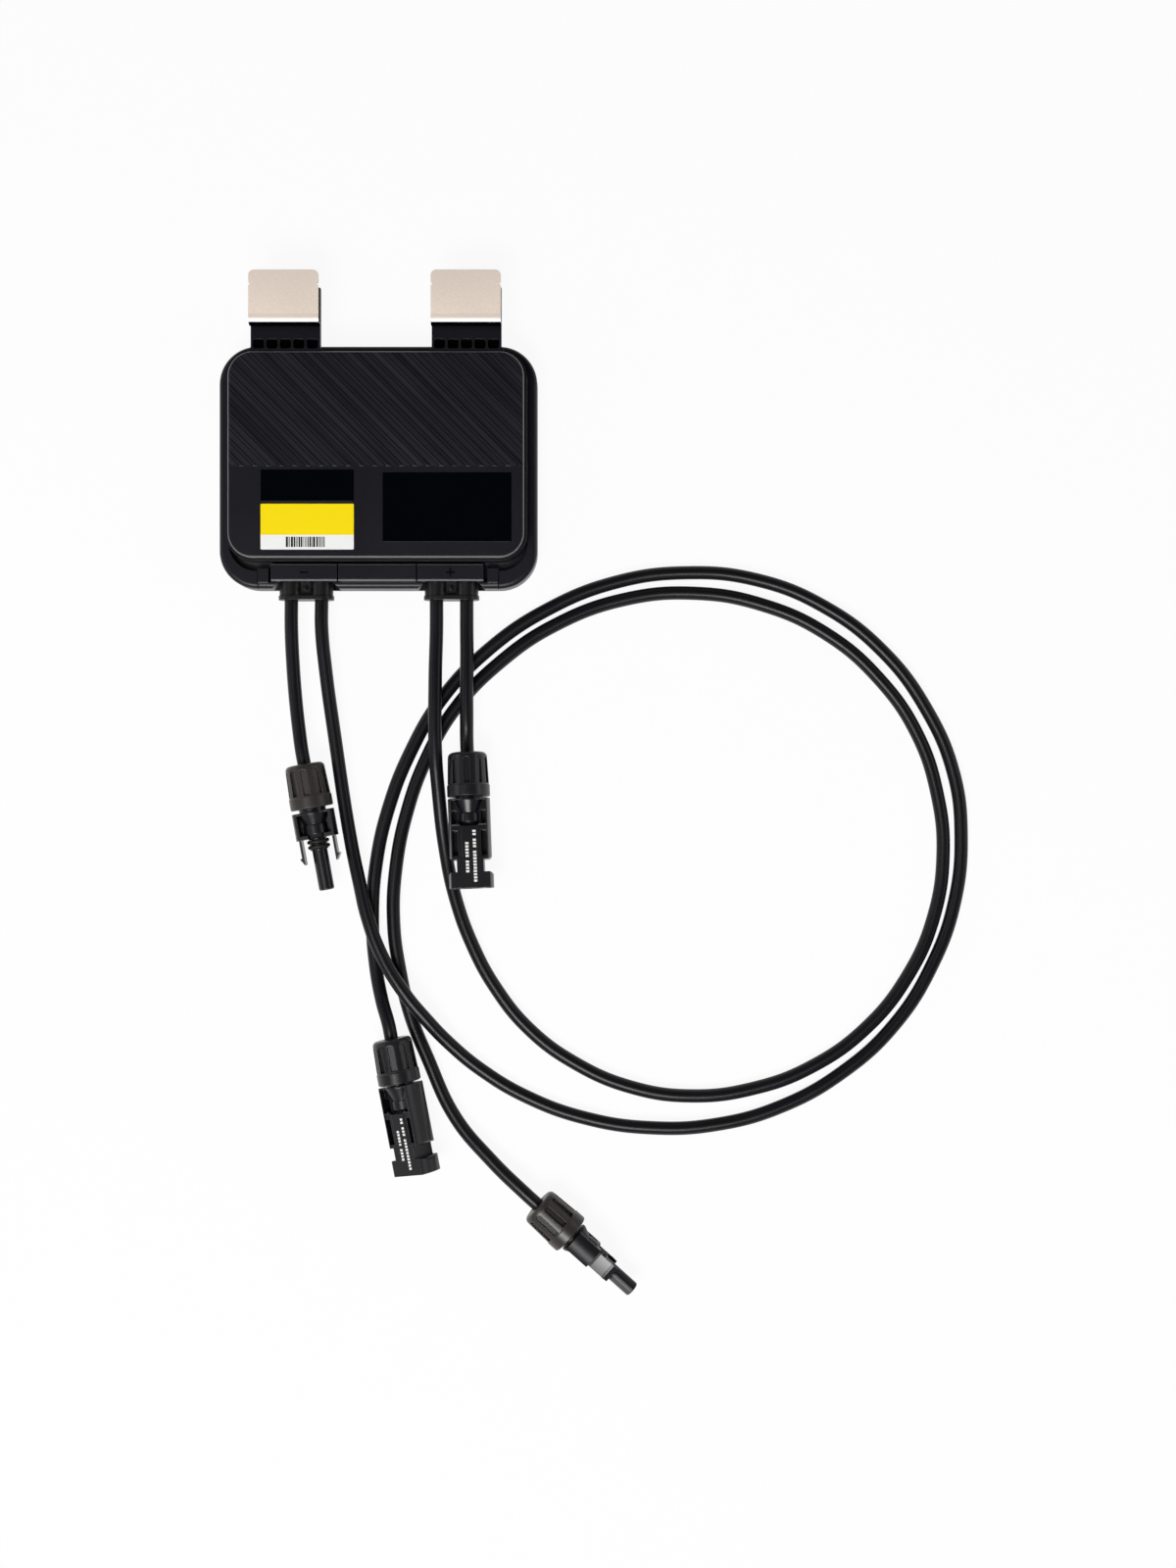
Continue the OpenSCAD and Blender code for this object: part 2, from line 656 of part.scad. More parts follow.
module clamp_block() color(plastic) difference() {
    translate([0, clamp_y, 0]) rounded_block(clamp_w, clamp_l, lead_z, clamp_top, clamp_round);
    at_leads() along_y(clamp_y - clamp_l, clamp_y + clamp_l, barrel_d + 2 * strip_fit);
    gland_key(strip_fit);
}

// The flange of a gland that sits in a slot of the clamp block
module gland_key(fit) {
    d = barrel_d + 2 * gland_key_out + 2 * fit;
    y0 = clamp_y - gland_key_t / 2 - fit;
    y1 = clamp_y + gland_key_t / 2 + fit;
    at_leads() along_y(y0, y1, d);
    translate([-lead_pitch / 2, y0, lead_z - d / 2]) cube([lead_pitch, y1 - y0, d]);
}

// Two barrels joined by the key flange, a middle web with a post, and the end lip
module gland() color(rubber) {
    y_end = y_cable - gland_reach;
    y_front = clamp_y - clamp_l / 2;
    web_h = barrel_d / 2;
    at_leads() along_y(y_end, clamp_y + clamp_l / 2 - strip_fit, barrel_d);
    at_leads() along_y(y_end, y_end + lip_t, lip_d);
    gland_key(0);
    translate([-lead_pitch / 2, y_end, lead_z - lip_d / 2]) cube([lead_pitch, lip_t, lip_d]);
    translate([-lead_pitch / 2, y_end, lead_z - web_h / 2])
        cube([lead_pitch, y_front - y_end, web_h]);
    translate([0, (y_end + lip_t + y_front) / 2, lead_z]) cylinder(d = post_d, h = lip_d / 2);
}

module heat_spreader() color([0.75, 0.76, 0.78])
    translate([0, bay_y, floor_t]) plain_slab(board_w / 2, board_l / 2, 3, 0, spreader_t);

module thermal_pad() color([0.55, 0.62, 0.72])
    translate([0, bay_y, floor_t + spreader_t])
        plain_slab(board_w / 2 - 4, board_l / 2 - 4, 2, 0, pad_t);

module at_board_screws()
    for (sx = [-1, 1], sy = [-1, 1])
        translate([sx * (board_w / 2 - screw_inset), bay_y + sy * (board_l / 2 - screw_inset), 0])
            children();

module circuit_board() color([0.05, 0.3, 0.16]) difference() {
    translate([0, bay_y, 0]) plain_slab(board_w, board_l, 2.5, board_z, board_top);
    at_board_screws() translate([0, 0, board_z - over])
        cylinder(d = screw_d + 4 * strip_fit, h = board_t + 2 * over);
}

module board_screws() color(steel) at_board_screws() {
    translate([0, 0, board_top]) cylinder(d = 1.9 * screw_d, h = 0.7 * screw_d);
    translate([0, 0, floor_t + strip_fit])
        cylinder(d = screw_d - 2 * strip_fit, h = board_top - floor_t);
}

// Ferrite core with a window on both sides of its middle leg
module inductor_core() color([0.2, 0.2, 0.21]) translate(core_at) {
    difference() {
        translate([-core_w / 2, -core_l / 2, 0]) cube([core_w, core_l, core_h]);
        translate([-core_w / 2 + core_wall, -core_l, core_wall])
            cube([core_w - 2 * core_wall, 2 * core_l, core_h - 2 * core_wall]);
    }
    translate([0, 0, core_wall]) cylinder(d = core_leg_d, h = core_h - 2 * core_wall);
}

module inductor_winding() color([0.72, 0.42, 0.2]) translate(core_at) {
    inner = core_leg_d / 2 + winding_fit;
    outer = core_w / 2 - core_wall - winding_fit;
    rotate_extrude() translate([inner, core_wall])
        square([outer - inner, core_h - 2 * core_wall - winding_fit]);
}

module capacitor_can() {
    bead = 0.8;
    rotate_extrude() polygon([[0, 0], [can_d / 2, 0], [can_d / 2, bead], [can_d / 2 - bead / 2, 2 * bead],
        [can_d / 2, 3 * bead], [can_d / 2, can_h - bead], [can_d / 2 - bead, can_h], [0, can_h]]);
}

module input_capacitors() color([0.25, 0.27, 0.32])
    for (i = [0 : 3])
        translate([0.11 * board_w + i * can_pitch, bay_y + 0.35 * board_l, board_top]) capacitor_can();

module output_capacitors() color([0.6, 0.12, 0.1])
    for (i = [0 : 2])
        translate([(0.115 + 0.145 * i) * board_w, bay_y + 0.15 * board_l, board_top])
            plain_slab(0.125 * board_w, can_d, 0.15 * can_d, 0, can_h);

module power_transistors() color([0.13, 0.13, 0.14])
    for (i = [0 : 3])
        translate([-0.2 * board_w + i * 1.5 * transistor_w, bay_y - 0.1 * board_l, board_top])
            rounded_block(transistor_w, 0.8 * transistor_w, 0, 0.18 * transistor_w, 0.2);

module controller_chip() color([0.15, 0.15, 0.16])
    translate([0.2 * board_w, bay_y - 0.1 * board_l, board_top])
        rounded_block(chip_w, chip_w, 0, 0.12 * chip_w, 0.15);

module radio_module() color([0.7, 0.71, 0.72])
    translate([0.37 * board_w, bay_y - 0.125 * board_l, board_top])
        plain_slab(radio_w, 0.9 * radio_w, 0.05 * radio_w, 0, 0.15 * radio_w);

// Copper terminals: a barrel for the lead's wire and a strip bent down to the board
module terminal_tabs() color([0.78, 0.5, 0.3]) at_glands() at_leads() {
    y0 = clamp_y + clamp_l / 2 + strip_fit;
    y1 = bay_y - board_l / 2 + 3;
    foot = 7;
    along_y(y0, y1, terminal_d);
    translate([-terminal_d / 2, y1 - terminal_t, board_top - lead_z])
        cube([terminal_d, terminal_t, lead_z - board_top]);
    translate([-terminal_d / 2, y1, board_top - lead_z]) cube([terminal_d, foot, terminal_t]);
}

// A lead: one tube swept along its route
module lead(route) color(rubber) {
    n = lead_sides;
    last = len(route) - 1;
    points = [for (i = [0 : last])
        let (t = unit(route[min(i + 1, last)] - route[max(i - 1, 0)]))
        let (a = unit(cross(t, [0, 0, 1])))
        let (b = cross(a, t))
        for (k = [0 : n - 1])
            route[i] + lead_d / 2 * (cos(360 * k / n) * a + sin(360 * k / n) * b)];
    sides = [for (i = [0 : last - 1], k = [0 : n - 1])
        let (p = i * n + k)
        let (q = i * n + (k + 1) % n)
        each [[p, q, q + n], [p, q + n, p + n]]];
    first_end = [[for (k = [n - 1 : -1 : 0]) k]];
    last_end = [[for (k = [0 : n - 1]) last * n + k]];
    polyhedron(points, concat(sides, first_end, last_end));
}

module minus_input_lead()
    lead(whole_route(lead_x(-1, -1), minus_input_route, minus_input_at));

module minus_output_lead()
    lead(whole_route(lead_x(-1, 1), minus_output_route, minus_output_at));

module plus_output_lead()
    lead(whole_route(lead_x(1, -1), plus_output_route, plus_output_at));

module plus_input_lead()
    lead(whole_route(lead_x(1, 1), plus_input_route, plus_input_at));

module placed(at)
    translate(at[0]) rotate([0, 0, at[1]]) rotate([0, -at[2], 0]) rotate([at[3], 0, 0]) children();

// Fluted nut, tapered towards its rounded cable end
module coupler_nut() color(nut_plastic) {
    end_r = nut_end_d / 2;
    collar_x = nut_l - nut_collar_l;
    collar_r = nut_d / 2;
    hollow_r = thread_d / 2 + coupler_fit;
    wall = nut_round;
    flute_x = nut_round + 0.3;
    difference() {
        rotate([180 / flute_count, 0, 0]) about_x() polygon(concat(
            [[seal_d / 2 + coupler_fit, 0]],
            [for (a = [0 : 22.5 : 90])
                [end_r - nut_round + nut_round * sin(a), nut_round - nut_round * cos(a)]],
            [[collar_r - 0.3, collar_x], [collar_r, collar_x + 0.4], [collar_r, nut_l - 0.4],
                [collar_r - 0.4, nut_l], [hollow_r, nut_l], [hollow_r, wall],
                [seal_d / 2 + coupler_fit, wall]]));
        for (i = [0 : flute_count - 1])
            rotate([360 * i / flute_count, 0, 0]) translate([flute_x, 0, flute_floor_d / 2])
                flute(collar_x - 0.4 - flute_x);
    }
}

// A flute with a round start at the cable end
module flute(l) linear_extrude((nut_d - flute_floor_d) / 2 + over) {
    translate([flute_w / 2, -flute_w / 2]) square([l - flute_w / 2, flute_w]);
    translate([flute_w / 2, 0]) circle(d = flute_w);
}

// Rubber seal that fills the nut's mouth and grips the cable
module cable_seal() color(rubber) {
    in_r = thread_d / 2 - coupler_fit;
    about_x() polygon([[0, 0], [seal_d / 2, 0], [seal_d / 2, nut_round + coupler_fit],
        [in_r, nut_round + coupler_fit], [in_r, seal_l - 1], [in_r - 1, seal_l], [0, seal_l]]);
}

module contact_rear()
    about_x() polygon([[0, crimp_x - 1], [crimp_d / 2, crimp_x - 1], [crimp_d / 2, crimp_x + crimp_l],
        [pin_d / 2, crimp_x + crimp_l + 1], [0, crimp_x + crimp_l + 1]]);

// Pin contact with a round nose
module pin_contact() color(steel) {
    tip = mouth_x - mouth_l - 1;
    contact_rear();
    about_x() polygon([[0, crimp_x + crimp_l], [pin_d / 2, crimp_x + crimp_l], [pin_d / 2, tip - 1],
        [pin_d / 2 - 0.8, tip], [0, tip]]);
}

// Hollow socket contact inside the plug tube
module socket_contact() color(steel) {
    tip = tube_tip - 1.5;
    contact_rear();
    about_x() polygon([[0, crimp_x + crimp_l], [pin_d / 2, crimp_x + crimp_l], [pin_d / 2, tip],
        [pin_d / 2 - 0.6, tip], [pin_d / 2 - 0.6, tip - tube_l + 4], [0, tip - tube_l + 4]]);
}

// The rear of both housings: thread, neck, shoulder and the room for the crimp barrel
module housing_rear_outline() {
    neck_r = thread_d / 2 - 1;
    polygon([[0, crimp_x + 1], [thread_d / 2 - 0.8, crimp_x + 1], [thread_d / 2, crimp_x + 2],
        [thread_d / 2, nut_l - 1.4], [neck_r, nut_l - 1], [neck_r, shoulder_x], [0, shoulder_x]]);
}

module contact_room(front) {
    about_x() polygon([[0, crimp_x - 2], [crimp_d / 2 + coupler_fit, crimp_x - 2],
        [crimp_d / 2 + coupler_fit, crimp_x + crimp_l + coupler_fit],
        [pin_d / 2 + coupler_fit, crimp_x + crimp_l + 1 + coupler_fit],
        [pin_d / 2 + coupler_fit, front], [0, front]]);
}

// Plug housing: cone, hump, latch frames with snap arms, ring seats and the plug tube
module tube_housing() color(plastic) {
    hump_end = hump_x + hump_l;
    tube_r = tube_d / 2;
    seat_r = ring_seat_d / 2;
    rib_r = seat_r + ring_cord / 2;
    difference() {
        union() {
            about_x() housing_rear_outline();
            about_x() polygon(concat(
                [[0, shoulder_x], [thread_d / 2, shoulder_x], [thread_d / 2, shoulder_x + 1],
                    [hump_d / 2 - 0.5, hump_x], [hump_d / 2, hump_x + 0.3], [hump_d / 2, hump_end],
                    [rib_r + 0.4, frame_x1 - 0.4], [rib_r, frame_x1]],
                [for (i = [0 : 2]) let (x = frame_x1 + i * (ring_cord + ring_rib)) each
                    i < 2 ? [[rib_r, x + ring_rib], [seat_r, x + ring_rib],
                        [seat_r, x + ring_rib + ring_cord], [rib_r, x + ring_rib + ring_cord]]
                    : [[rib_r, x], [rib_r, x + ring_rib], [tube_r, x + ring_rib]]],
                [[tube_r, tube_tip - 0.5], [tube_r - 0.5, tube_tip], [0, tube_tip]]));
            for (s = [0, 1]) mirror([0, s, 0]) latch_frame();
        }
        contact_room(tube_tip + over);
    }
}

// One latch frame: convex outer plate, end bars, thin web and the snap arm with its barb
module latch_frame() {
    bar = 1.8;
    inner = frame_w / 2 - frame_t;
    arm_out = arm_r + arm_t / 2;
    arm_in = arm_r - arm_t / 2;
    arm_x = frame_x1 + arm_l;
    difference() {
        intersection() {
            translate([shoulder_x, crimp_d / 2 + 1, -frame_h / 2]) cube([frame_l, frame_w, frame_h]);
            along_axis(shoulder_x - over, frame_x1 + over) circle(d = frame_w);
        }
        for (s = [0, 1]) mirror([0, 0, s])
            translate([shoulder_x + 1, 0, 0.6])
                cube([frame_l - 1 - bar, inner, frame_h]);
    }
    translate([0, 0, -arm_w / 2]) linear_extrude(arm_w)
        polygon([[frame_x1 - bar, arm_in], [frame_x1 - bar, arm_out], [arm_x - 3.2, arm_out],
            [arm_x - 2.8, arm_out + barb_out], [arm_x, arm_in + 0.2], [arm_x, arm_in]]);
}

module sealing_rings() color(rubber)
    for (i = [0, 1])
        translate([frame_x1 + ring_rib + ring_cord / 2 + i * (ring_cord + ring_rib), 0, 0])
            about_x() translate([ring_d / 2 - ring_cord / 2, 0]) circle(d = ring_cord - coupler_fit);

// Cross-section of the window body: flat above and below, with bulging sides
module body_section(w) {
    bulge = 14;
    intersection() {
        square([body_h, w], center = true);
        translate([0, bulge - w / 2]) circle(bulge);
        translate([0, w / 2 - bulge]) circle(bulge);
    }
}

module along_axis(x0, x1) translate([x0, 0, 0]) rotate([0, 90, 0]) linear_extrude(x1 - x0) children();

// Plan of a block with two round corners at its far end
module round_ended(l, w, r) linear_extrude(2 * body_h, center = true) {
    translate([-over, -w / 2]) square([l - r + over, w]);
    translate([-over, -w / 2 + r]) square([l + over, w - 2 * r]);
    for (s = [-1, 1]) translate([l - r, s * (w / 2 - r)]) circle(r);
}

// Socket housing: cone and hump in a recess between side walls, spine, windows, waist and flange
module window_housing() color(plastic) {
    inner = body_w / 2 - body_wall;
    window_y = mouth_d / 2 - 0.1;
    difference() {
        union() {
            about_x() housing_rear_outline();
            difference() {
                intersection() {
                    along_axis(body_x0, body_x1) body_section(body_w);
                    translate([body_x0, 0, 0]) round_ended(body_l, body_w, body_corner_r);
                }
                for (t = [0, 1]) mirror([0, 0, t]) face_recess(inner);
            }
            window_cone();
            along_axis(body_x1 - over, flange_x + over) square([body_h, waist_w], center = true);
            intersection() {
                along_axis(flange_x, mouth_x) body_section(flange_w);
                translate([mouth_x, 0, 0]) mirror([1, 0, 0])
                    round_ended(flange_l, flange_w, body_corner_r);
            }
        }
        for (s = [0, 1], t = [0, 1]) mirror([0, s, 0]) mirror([0, 0, t]) {
            translate([hump_x - 1, hump_d / 2, 1])
                cube([small_window_l, inner - hump_d / 2, body_h]);
            translate([body_x1 - large_window_l - 1.6, window_y, 1])
                cube([large_window_l, inner - window_y, body_h]);
        }
        for (s = [0, 1]) mirror([0, s, 0])
            translate([flange_x - over, arm_r - arm_t - 0.2, -arm_w / 2 - 0.3])
                cube([flange_l + 2 * over, 2 * arm_t + 0.4, arm_w + 0.6]);
        about_x() translate([0, mouth_x - mouth_l]) square([mouth_d / 2, mouth_l + over]);
        about_x() translate([0, mouth_x - socket_l]) square([socket_d / 2, socket_l]);
        contact_room(mouth_x - socket_l + over);
    }
}

// The cone behind the nut and the hump, as far as the spine
module window_cone() {
    hump_end = hump_x + hump_l;
    about_x() polygon([[0, body_x0], [thread_d / 2, body_x0], [thread_d / 2, body_x0 + 0.8],
        [hump_d / 2 - 0.5, hump_x], [hump_d / 2, hump_x + 0.3], [hump_d / 2, hump_end - 0.4],
        [hump_d / 2 - 0.8, hump_end + 0.8], [0, hump_end + 0.8]]);
}

// What the face of the window body loses: the room round the cone and the hump, whose lower
// corners run in to the spine, and a shallow step on both sides of the spine
module face_recess(inner) {
    x0 = body_x0 + 0.6;
    x1 = hump_x + hump_l;
    top = body_h / 2;
    translate([0, 0, top - recess_depth]) linear_extrude(recess_depth + over)
        polygon([[x0, -inner], [x1, -inner], [x1, -hump_d / 2], [x1 + 1.6, -spine_w / 2],
            [x1 + 1.6, spine_w / 2], [x1, hump_d / 2], [x1, inner], [x0, inner]]);
    for (s = [0, 1]) mirror([0, s, 0])
        translate([x1 + 1.2, spine_w / 2, top - spine_h])
            cube([body_x1 - x1, inner - spine_w / 2, spine_h + over]);
}

module minus_input_nut() placed(minus_input_at) coupler_nut();
module minus_input_seal() placed(minus_input_at) cable_seal();
module minus_input_contact() placed(minus_input_at) socket_contact();
module minus_input_housing() placed(minus_input_at) tube_housing();
module minus_input_rings() placed(minus_input_at) sealing_rings();
module plus_input_nut() placed(plus_input_at) coupler_nut();
module plus_input_seal() placed(plus_input_at) cable_seal();
module plus_input_contact() placed(plus_input_at) pin_contact();
module plus_input_housing() placed(plus_input_at) window_housing();
module minus_output_nut() placed(minus_output_at) coupler_nut();
module minus_output_seal() placed(minus_output_at) cable_seal();
module minus_output_contact() placed(minus_output_at) pin_contact();
module minus_output_housing() placed(minus_output_at) window_housing();
module plus_output_nut() placed(plus_output_at) coupler_nut();
module plus_output_seal() placed(plus_output_at) cable_seal();
module plus_output_contact() placed(plus_output_at) socket_contact();
module plus_output_housing() placed(plus_output_at) tube_housing();
module plus_output_rings() placed(plus_output_at) sealing_rings();

base_housing();
front_cover();
cover_gasket();
translate([-tongue_x, 0, 0]) frame_clip();  // frame_clip_left
translate([tongue_x, 0, 0]) frame_clip();  // frame_clip_right
translate([-gland_x, 0, 0]) clamp_block();  // minus_clamp_block
translate([gland_x, 0, 0]) clamp_block();  // plus_clamp_block
translate([-gland_x, 0, 0]) gland();  // minus_gland
translate([gland_x, 0, 0]) gland();  // plus_gland
heat_spreader();
thermal_pad();
circuit_board();
board_screws();
inductor_core();
inductor_winding();
input_capacitors();
output_capacitors();
power_transistors();
controller_chip();
radio_module();
terminal_tabs();
minus_input_lead();
minus_output_lead();
plus_output_lead();
plus_input_lead();
minus_input_nut();
minus_input_seal();
minus_input_contact();
minus_input_housing();
minus_input_rings();
plus_input_nut();
plus_input_seal();
plus_input_contact();
plus_input_housing();
minus_output_nut();
minus_output_seal();
minus_output_contact();
minus_output_housing();
plus_output_nut();
plus_output_seal();
plus_output_contact();
plus_output_housing();
plus_output_rings();
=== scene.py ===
"""Dresses the solids of a solar power optimizer: finishes, rib ends, labels, signs and leads.

Every piece is modelled in its place, in metres, in the frame that is loaded first.
"""

import math
import random

import bmesh
import bpy
from bpy.props import FloatProperty, FloatVectorProperty, IntProperty, PointerProperty
from bpy.types import Operator, Panel, PropertyGroup
from mathutils import Matrix, Vector


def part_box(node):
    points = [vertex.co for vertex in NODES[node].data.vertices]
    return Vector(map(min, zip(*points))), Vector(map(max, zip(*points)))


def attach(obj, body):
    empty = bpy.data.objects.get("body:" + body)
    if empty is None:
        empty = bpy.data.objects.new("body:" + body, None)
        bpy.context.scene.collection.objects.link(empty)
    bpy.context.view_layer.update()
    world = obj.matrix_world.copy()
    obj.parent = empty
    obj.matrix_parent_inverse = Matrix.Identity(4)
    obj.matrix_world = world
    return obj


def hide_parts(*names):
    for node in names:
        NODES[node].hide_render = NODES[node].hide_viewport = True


bl_info = {
    "name": "Power Optimizer Dressing",
    "version": (1, 0, 0),
    "blender": (4, 5, 0),
    "location": "View3D > Sidebar > Optimizer",
    "description": "Finishes, rib ends, labels, signs and leads of a solar power optimizer",
    "category": "Object",
}

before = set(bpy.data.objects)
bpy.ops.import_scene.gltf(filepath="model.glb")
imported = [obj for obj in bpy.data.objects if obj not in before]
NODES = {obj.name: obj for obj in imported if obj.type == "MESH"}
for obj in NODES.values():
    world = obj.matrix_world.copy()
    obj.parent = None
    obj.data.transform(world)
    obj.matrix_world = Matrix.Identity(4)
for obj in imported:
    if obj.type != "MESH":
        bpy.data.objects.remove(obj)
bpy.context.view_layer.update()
MM = 0.001

# How deep a laid-on piece is sunk in its face, and how thick a printed bar is
SINK = 0.02 * MM
BAR_THICKNESS = 0.035 * MM

# Rise of the ribs, faces that the pieces lie on, how far below them the rounded edges get
# a painted highlight, and the right clip with the middle of its tongue
RIB_RISE = 0.35 * MM
FACE_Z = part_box("front_cover")[1].z - RIB_RISE
BLOCK_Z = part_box("minus_clamp_block")[1].z
CREST_DROP = 0.9 * MM
CLIP_LOW, CLIP_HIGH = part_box("frame_clip_right")
TONGUE_X = (CLIP_LOW.x + CLIP_HIGH.x) / 2

# The row of pockets in the root of each tongue, whose floors below the sill get painted shade
POCKET_Y = 37.4 * MM
POCKET_LENGTH = 4.1 * MM
POCKET_ROW = 28.2 * MM
POCKET_SILL = FACE_Z - 1.55 * MM

# Where each coupler lies: middle of its nut's cable end in millimetres, heading, rise and roll
COUPLERS = {
    "minus_input": ((-32.6, -141.5, 9.45), -79.7, 0, 0),
    "plus_input": ((38.5, -136.4, 8.7), -87.7, 4.7, 0),
    "minus_output": ((5.4, -261.4, 9.05), -78.7, 2.4, 38),
    "plus_output": ((69.3, -333.8, 9.45), -41.9, 0, 90),
}

# Where each lead leaves its gland, and its route to the nut, in millimetres
EXITS = {
    "minus_input": (-38.3, -69.85, 8.9),
    "minus_output": (-25.1, -69.85, 8.9),
    "plus_output": (25.1, -69.85, 8.9),
    "plus_input": (38.3, -69.85, 8.9),
}
ROUTES = {
    "minus_input": [(-37.8, -95, 8.6), (-36.6, -112, 8.4), (-34.9, -127, 9)],
    "minus_output": [
        (-23.5, -100, 8), (-20, -127, 6.6), (-12.4, -176, 6.8), (-8.6, -193.5, 8.3),
        (-5, -208.5, 9.4), (1.2, -225, 9.65), (11.5, -242, 9.6), (20, -252.5, 8.2),
        (30.5, -264, 5.2), (44, -275.5, 3.4), (64, -287.5, 3.1), (90, -297, 3.1),
        (119, -301.3, 3.1), (148, -299.8, 3.1), (176, -292, 3.1), (203, -277, 3.1),
        (226, -256, 3.1), (243, -229, 3.1), (252.5, -202, 3.1), (255.4, -172.5, 3.1),
        (252, -145, 3.1), (240, -117, 3.1), (221, -91.8, 3.1), (195, -72, 3.1),
        (165.5, -60.3, 3.1), (134, -57.2, 3.1), (103, -61.5, 3.1), (73, -73.6, 3.1),
        (48, -90.6, 3.1), (27, -112.6, 3.1), (13, -136.5, 3.1), (3.8, -160, 3.1),
        (-1.7, -184, 3.1), (-3.5, -209, 3.1), (-2, -230, 3.8), (1, -245, 6.2),
    ],
    "plus_output": [
        (24.6, -104, 9.6), (24.7, -137, 9.5), (25.6, -151, 7.6), (28.4, -178, 3.6),
        (32.8, -199.5, 3.1), (40.5, -221, 3.1), (50.5, -239.5, 3.1), (65, -257.5, 3.1),
        (85, -272.5, 3.1), (110.5, -283.5, 3.1), (137, -287.3, 3.1), (164, -284, 3.1),
        (189.5, -274.5, 3.1), (214, -257, 3.1), (232.2, -234, 3.1), (243.2, -209, 3.1),
        (247.5, -181, 3.1), (245, -155, 3.1), (236, -128, 3.1), (219, -103.5, 3.1),
        (196, -84, 3.1), (168, -71.3, 3.1), (138, -66.2, 3.1), (107, -69, 3.1),
        (76.8, -80.2, 3.1), (52.6, -96.6, 3.1), (32.7, -117.2, 3.1), (20.2, -139, 3.1),
        (11.8, -162, 3.1), (6.8, -187, 3.1), (5.8, -211, 3.1), (8.5, -232, 3.1),
        (13.3, -252, 3.1), (20.5, -270, 3.2), (33, -296.5, 4.2), (49, -315, 7),
    ],
    "plus_input": [(38.4, -94, 9.4), (38.3, -110, 9.8), (38.3, -122, 9.3)],
}

# Label fields and bars on the cover: left, right, lower and upper edge, in millimetres
LABEL_FIELDS = {
    "label_dark_field": (-49.5, -9.4, -28.5, -14.9),
    "label_wide_field": (3.0, 58.4, -45.9, -16.1),
    "label_bright_field": (-49.5, -9.4, -49.3, -29.6),
}
LABEL_BARS = (-38.6, -20.6, -48.2, -43.8)
YELLOW_ENDS = -43.0 * MM

# Rows of dashes on a socket coupler: start along its axis, dashes in each group, place across
DASH_ROWS = ((34.2, (2, 3, 10), 2.1), (39.4, (5, 4), -1.2))

# Softboxes: place, width and height in metres, and the setting that holds their power
SOFTBOXES = (
    ((-0.2, -0.9, 1.4), 0.8, 0.6, "key"),
    ((-0.55, -0.3, 1.2), 0.45, 0.5, "top"),
    ((1.15, 0.1, 0.6), 0.9, 0.35, "fill"),
    ((-1.0, 0.15, 0.6), 0.9, 0.35, "fill"),
)

# Where the softboxes point, and the share of plain white in the floor that is seen
LAMP_AIM = Vector((0.06, -0.12, 0))
FLOOR_GLOW = 0.93

# Metal pieces inside the housing: material, colour code and roughness
INNER_METALS = {
    "heat_spreader": ("spreader aluminium", "c4c6c9", 0.35),
    "board_screws": ("screw steel", "b9b7b2", 0.3),
    "inductor_winding": ("winding copper", "b86a3c", 0.3),
    "input_capacitors": ("can sleeve", "4a4f5c", 0.4),
    "radio_module": ("shield can", "b7b8ba", 0.35),
    "terminal_tabs": ("terminal copper", "c08253", 0.32),
}

# Moulded pieces inside: material, colour, edge, roughness, grain, its depth, rounding and nodes
INNER_MOULDINGS = (
    ("ferrite", "3a3a3d", "77777a", 0.7, 900, 0.3, 0.3, "inductor_core"),
    ("film case", "8f2b22", "b5564a", 0.45, 1200, 0.1, 0.4, "output_capacitors"),
    ("chip epoxy", "232326", "5a5a5e", 0.6, 2000, 0.2, 0.2, "power_transistors", "controller_chip"),
)


def paint(code):
    """A colour code such as 1d1c21 as linear red, green and blue."""
    levels = [int(code[i : i + 2], 16) / 255 for i in (0, 2, 4)]
    return tuple(v / 12.92 if v <= 0.04045 else ((v + 0.055) / 1.055) ** 2.4 for v in levels)


def colour(label, code, says):
    """A colour setting."""
    return FloatVectorProperty(
        name=label, description=says, subtype="COLOR", size=3, min=0, max=1, default=paint(code)
    )


def length(label, millimetres, says):
    """A length setting, whose default is given in millimetres."""
    return FloatProperty(
        name=label, description=says, default=millimetres * MM, unit="LENGTH", subtype="DISTANCE"
    )


def amount(label, value, says, unit="NONE", least=0.0):
    """A setting for a strength, a power or a focal length."""
    return FloatProperty(name=label, description=says, default=value, unit=unit, min=least)


def number(label, value, says, least=0):
    """A setting for a whole number."""
    return IntProperty(name=label, description=says, default=value, min=least)


class CoverSettings(PropertyGroup):
    """The lower ends of the cover's ribs"""

    rib_first: length("First rib", -57.67, "Place of the first rib along the lower edge")
    rib_pitch: length("Rib pitch", 5.73, "Distance between ribs along the lower edge")
    rib_width: length("Rib width", 2.1, "Width of a rib along the lower edge")
    rib_low: length("Lower edge", -13.3, "Lower edge of the ribbed field")
    # The dark line along each side of a rib is painted shade
    rib_shade_width: length("Line", 0.4, "Width of the dark line along each side of a rib")
    rib_run: length("Sloped end", 0.32, "Length of the slope at the end of a rib")
    rib_count: number("Ribs", 21, "Ribs that end at the lower edge", 1)


class LabelSettings(PropertyGroup):
    """The labels on the cover and their colours"""

    film: length("Film", 0.12, "Thickness of the label film")
    corner: length("Corner", 0.5, "Corner radius of the labels")
    yellow: colour("Yellow field", "ffe305", "Colour of the label's bright field")
    white: colour("White field", "f7f7f5", "Colour of the label's pale field")
    dark: colour("Dark field", "010206", "Colour of the dark glossy film")
    ink: colour("Ink", "17171a", "Colour of the printed bars")
    seed: number("Bar seed", 5, "Order of the bars' widths")


class LeadSettings(PropertyGroup):
    """The four leads"""

    thickness: length("Lead diameter", 6.0, "Diameter of a lead")
    jacket: colour("Jacket", "0f0e12", "Colour of the leads' jacket")


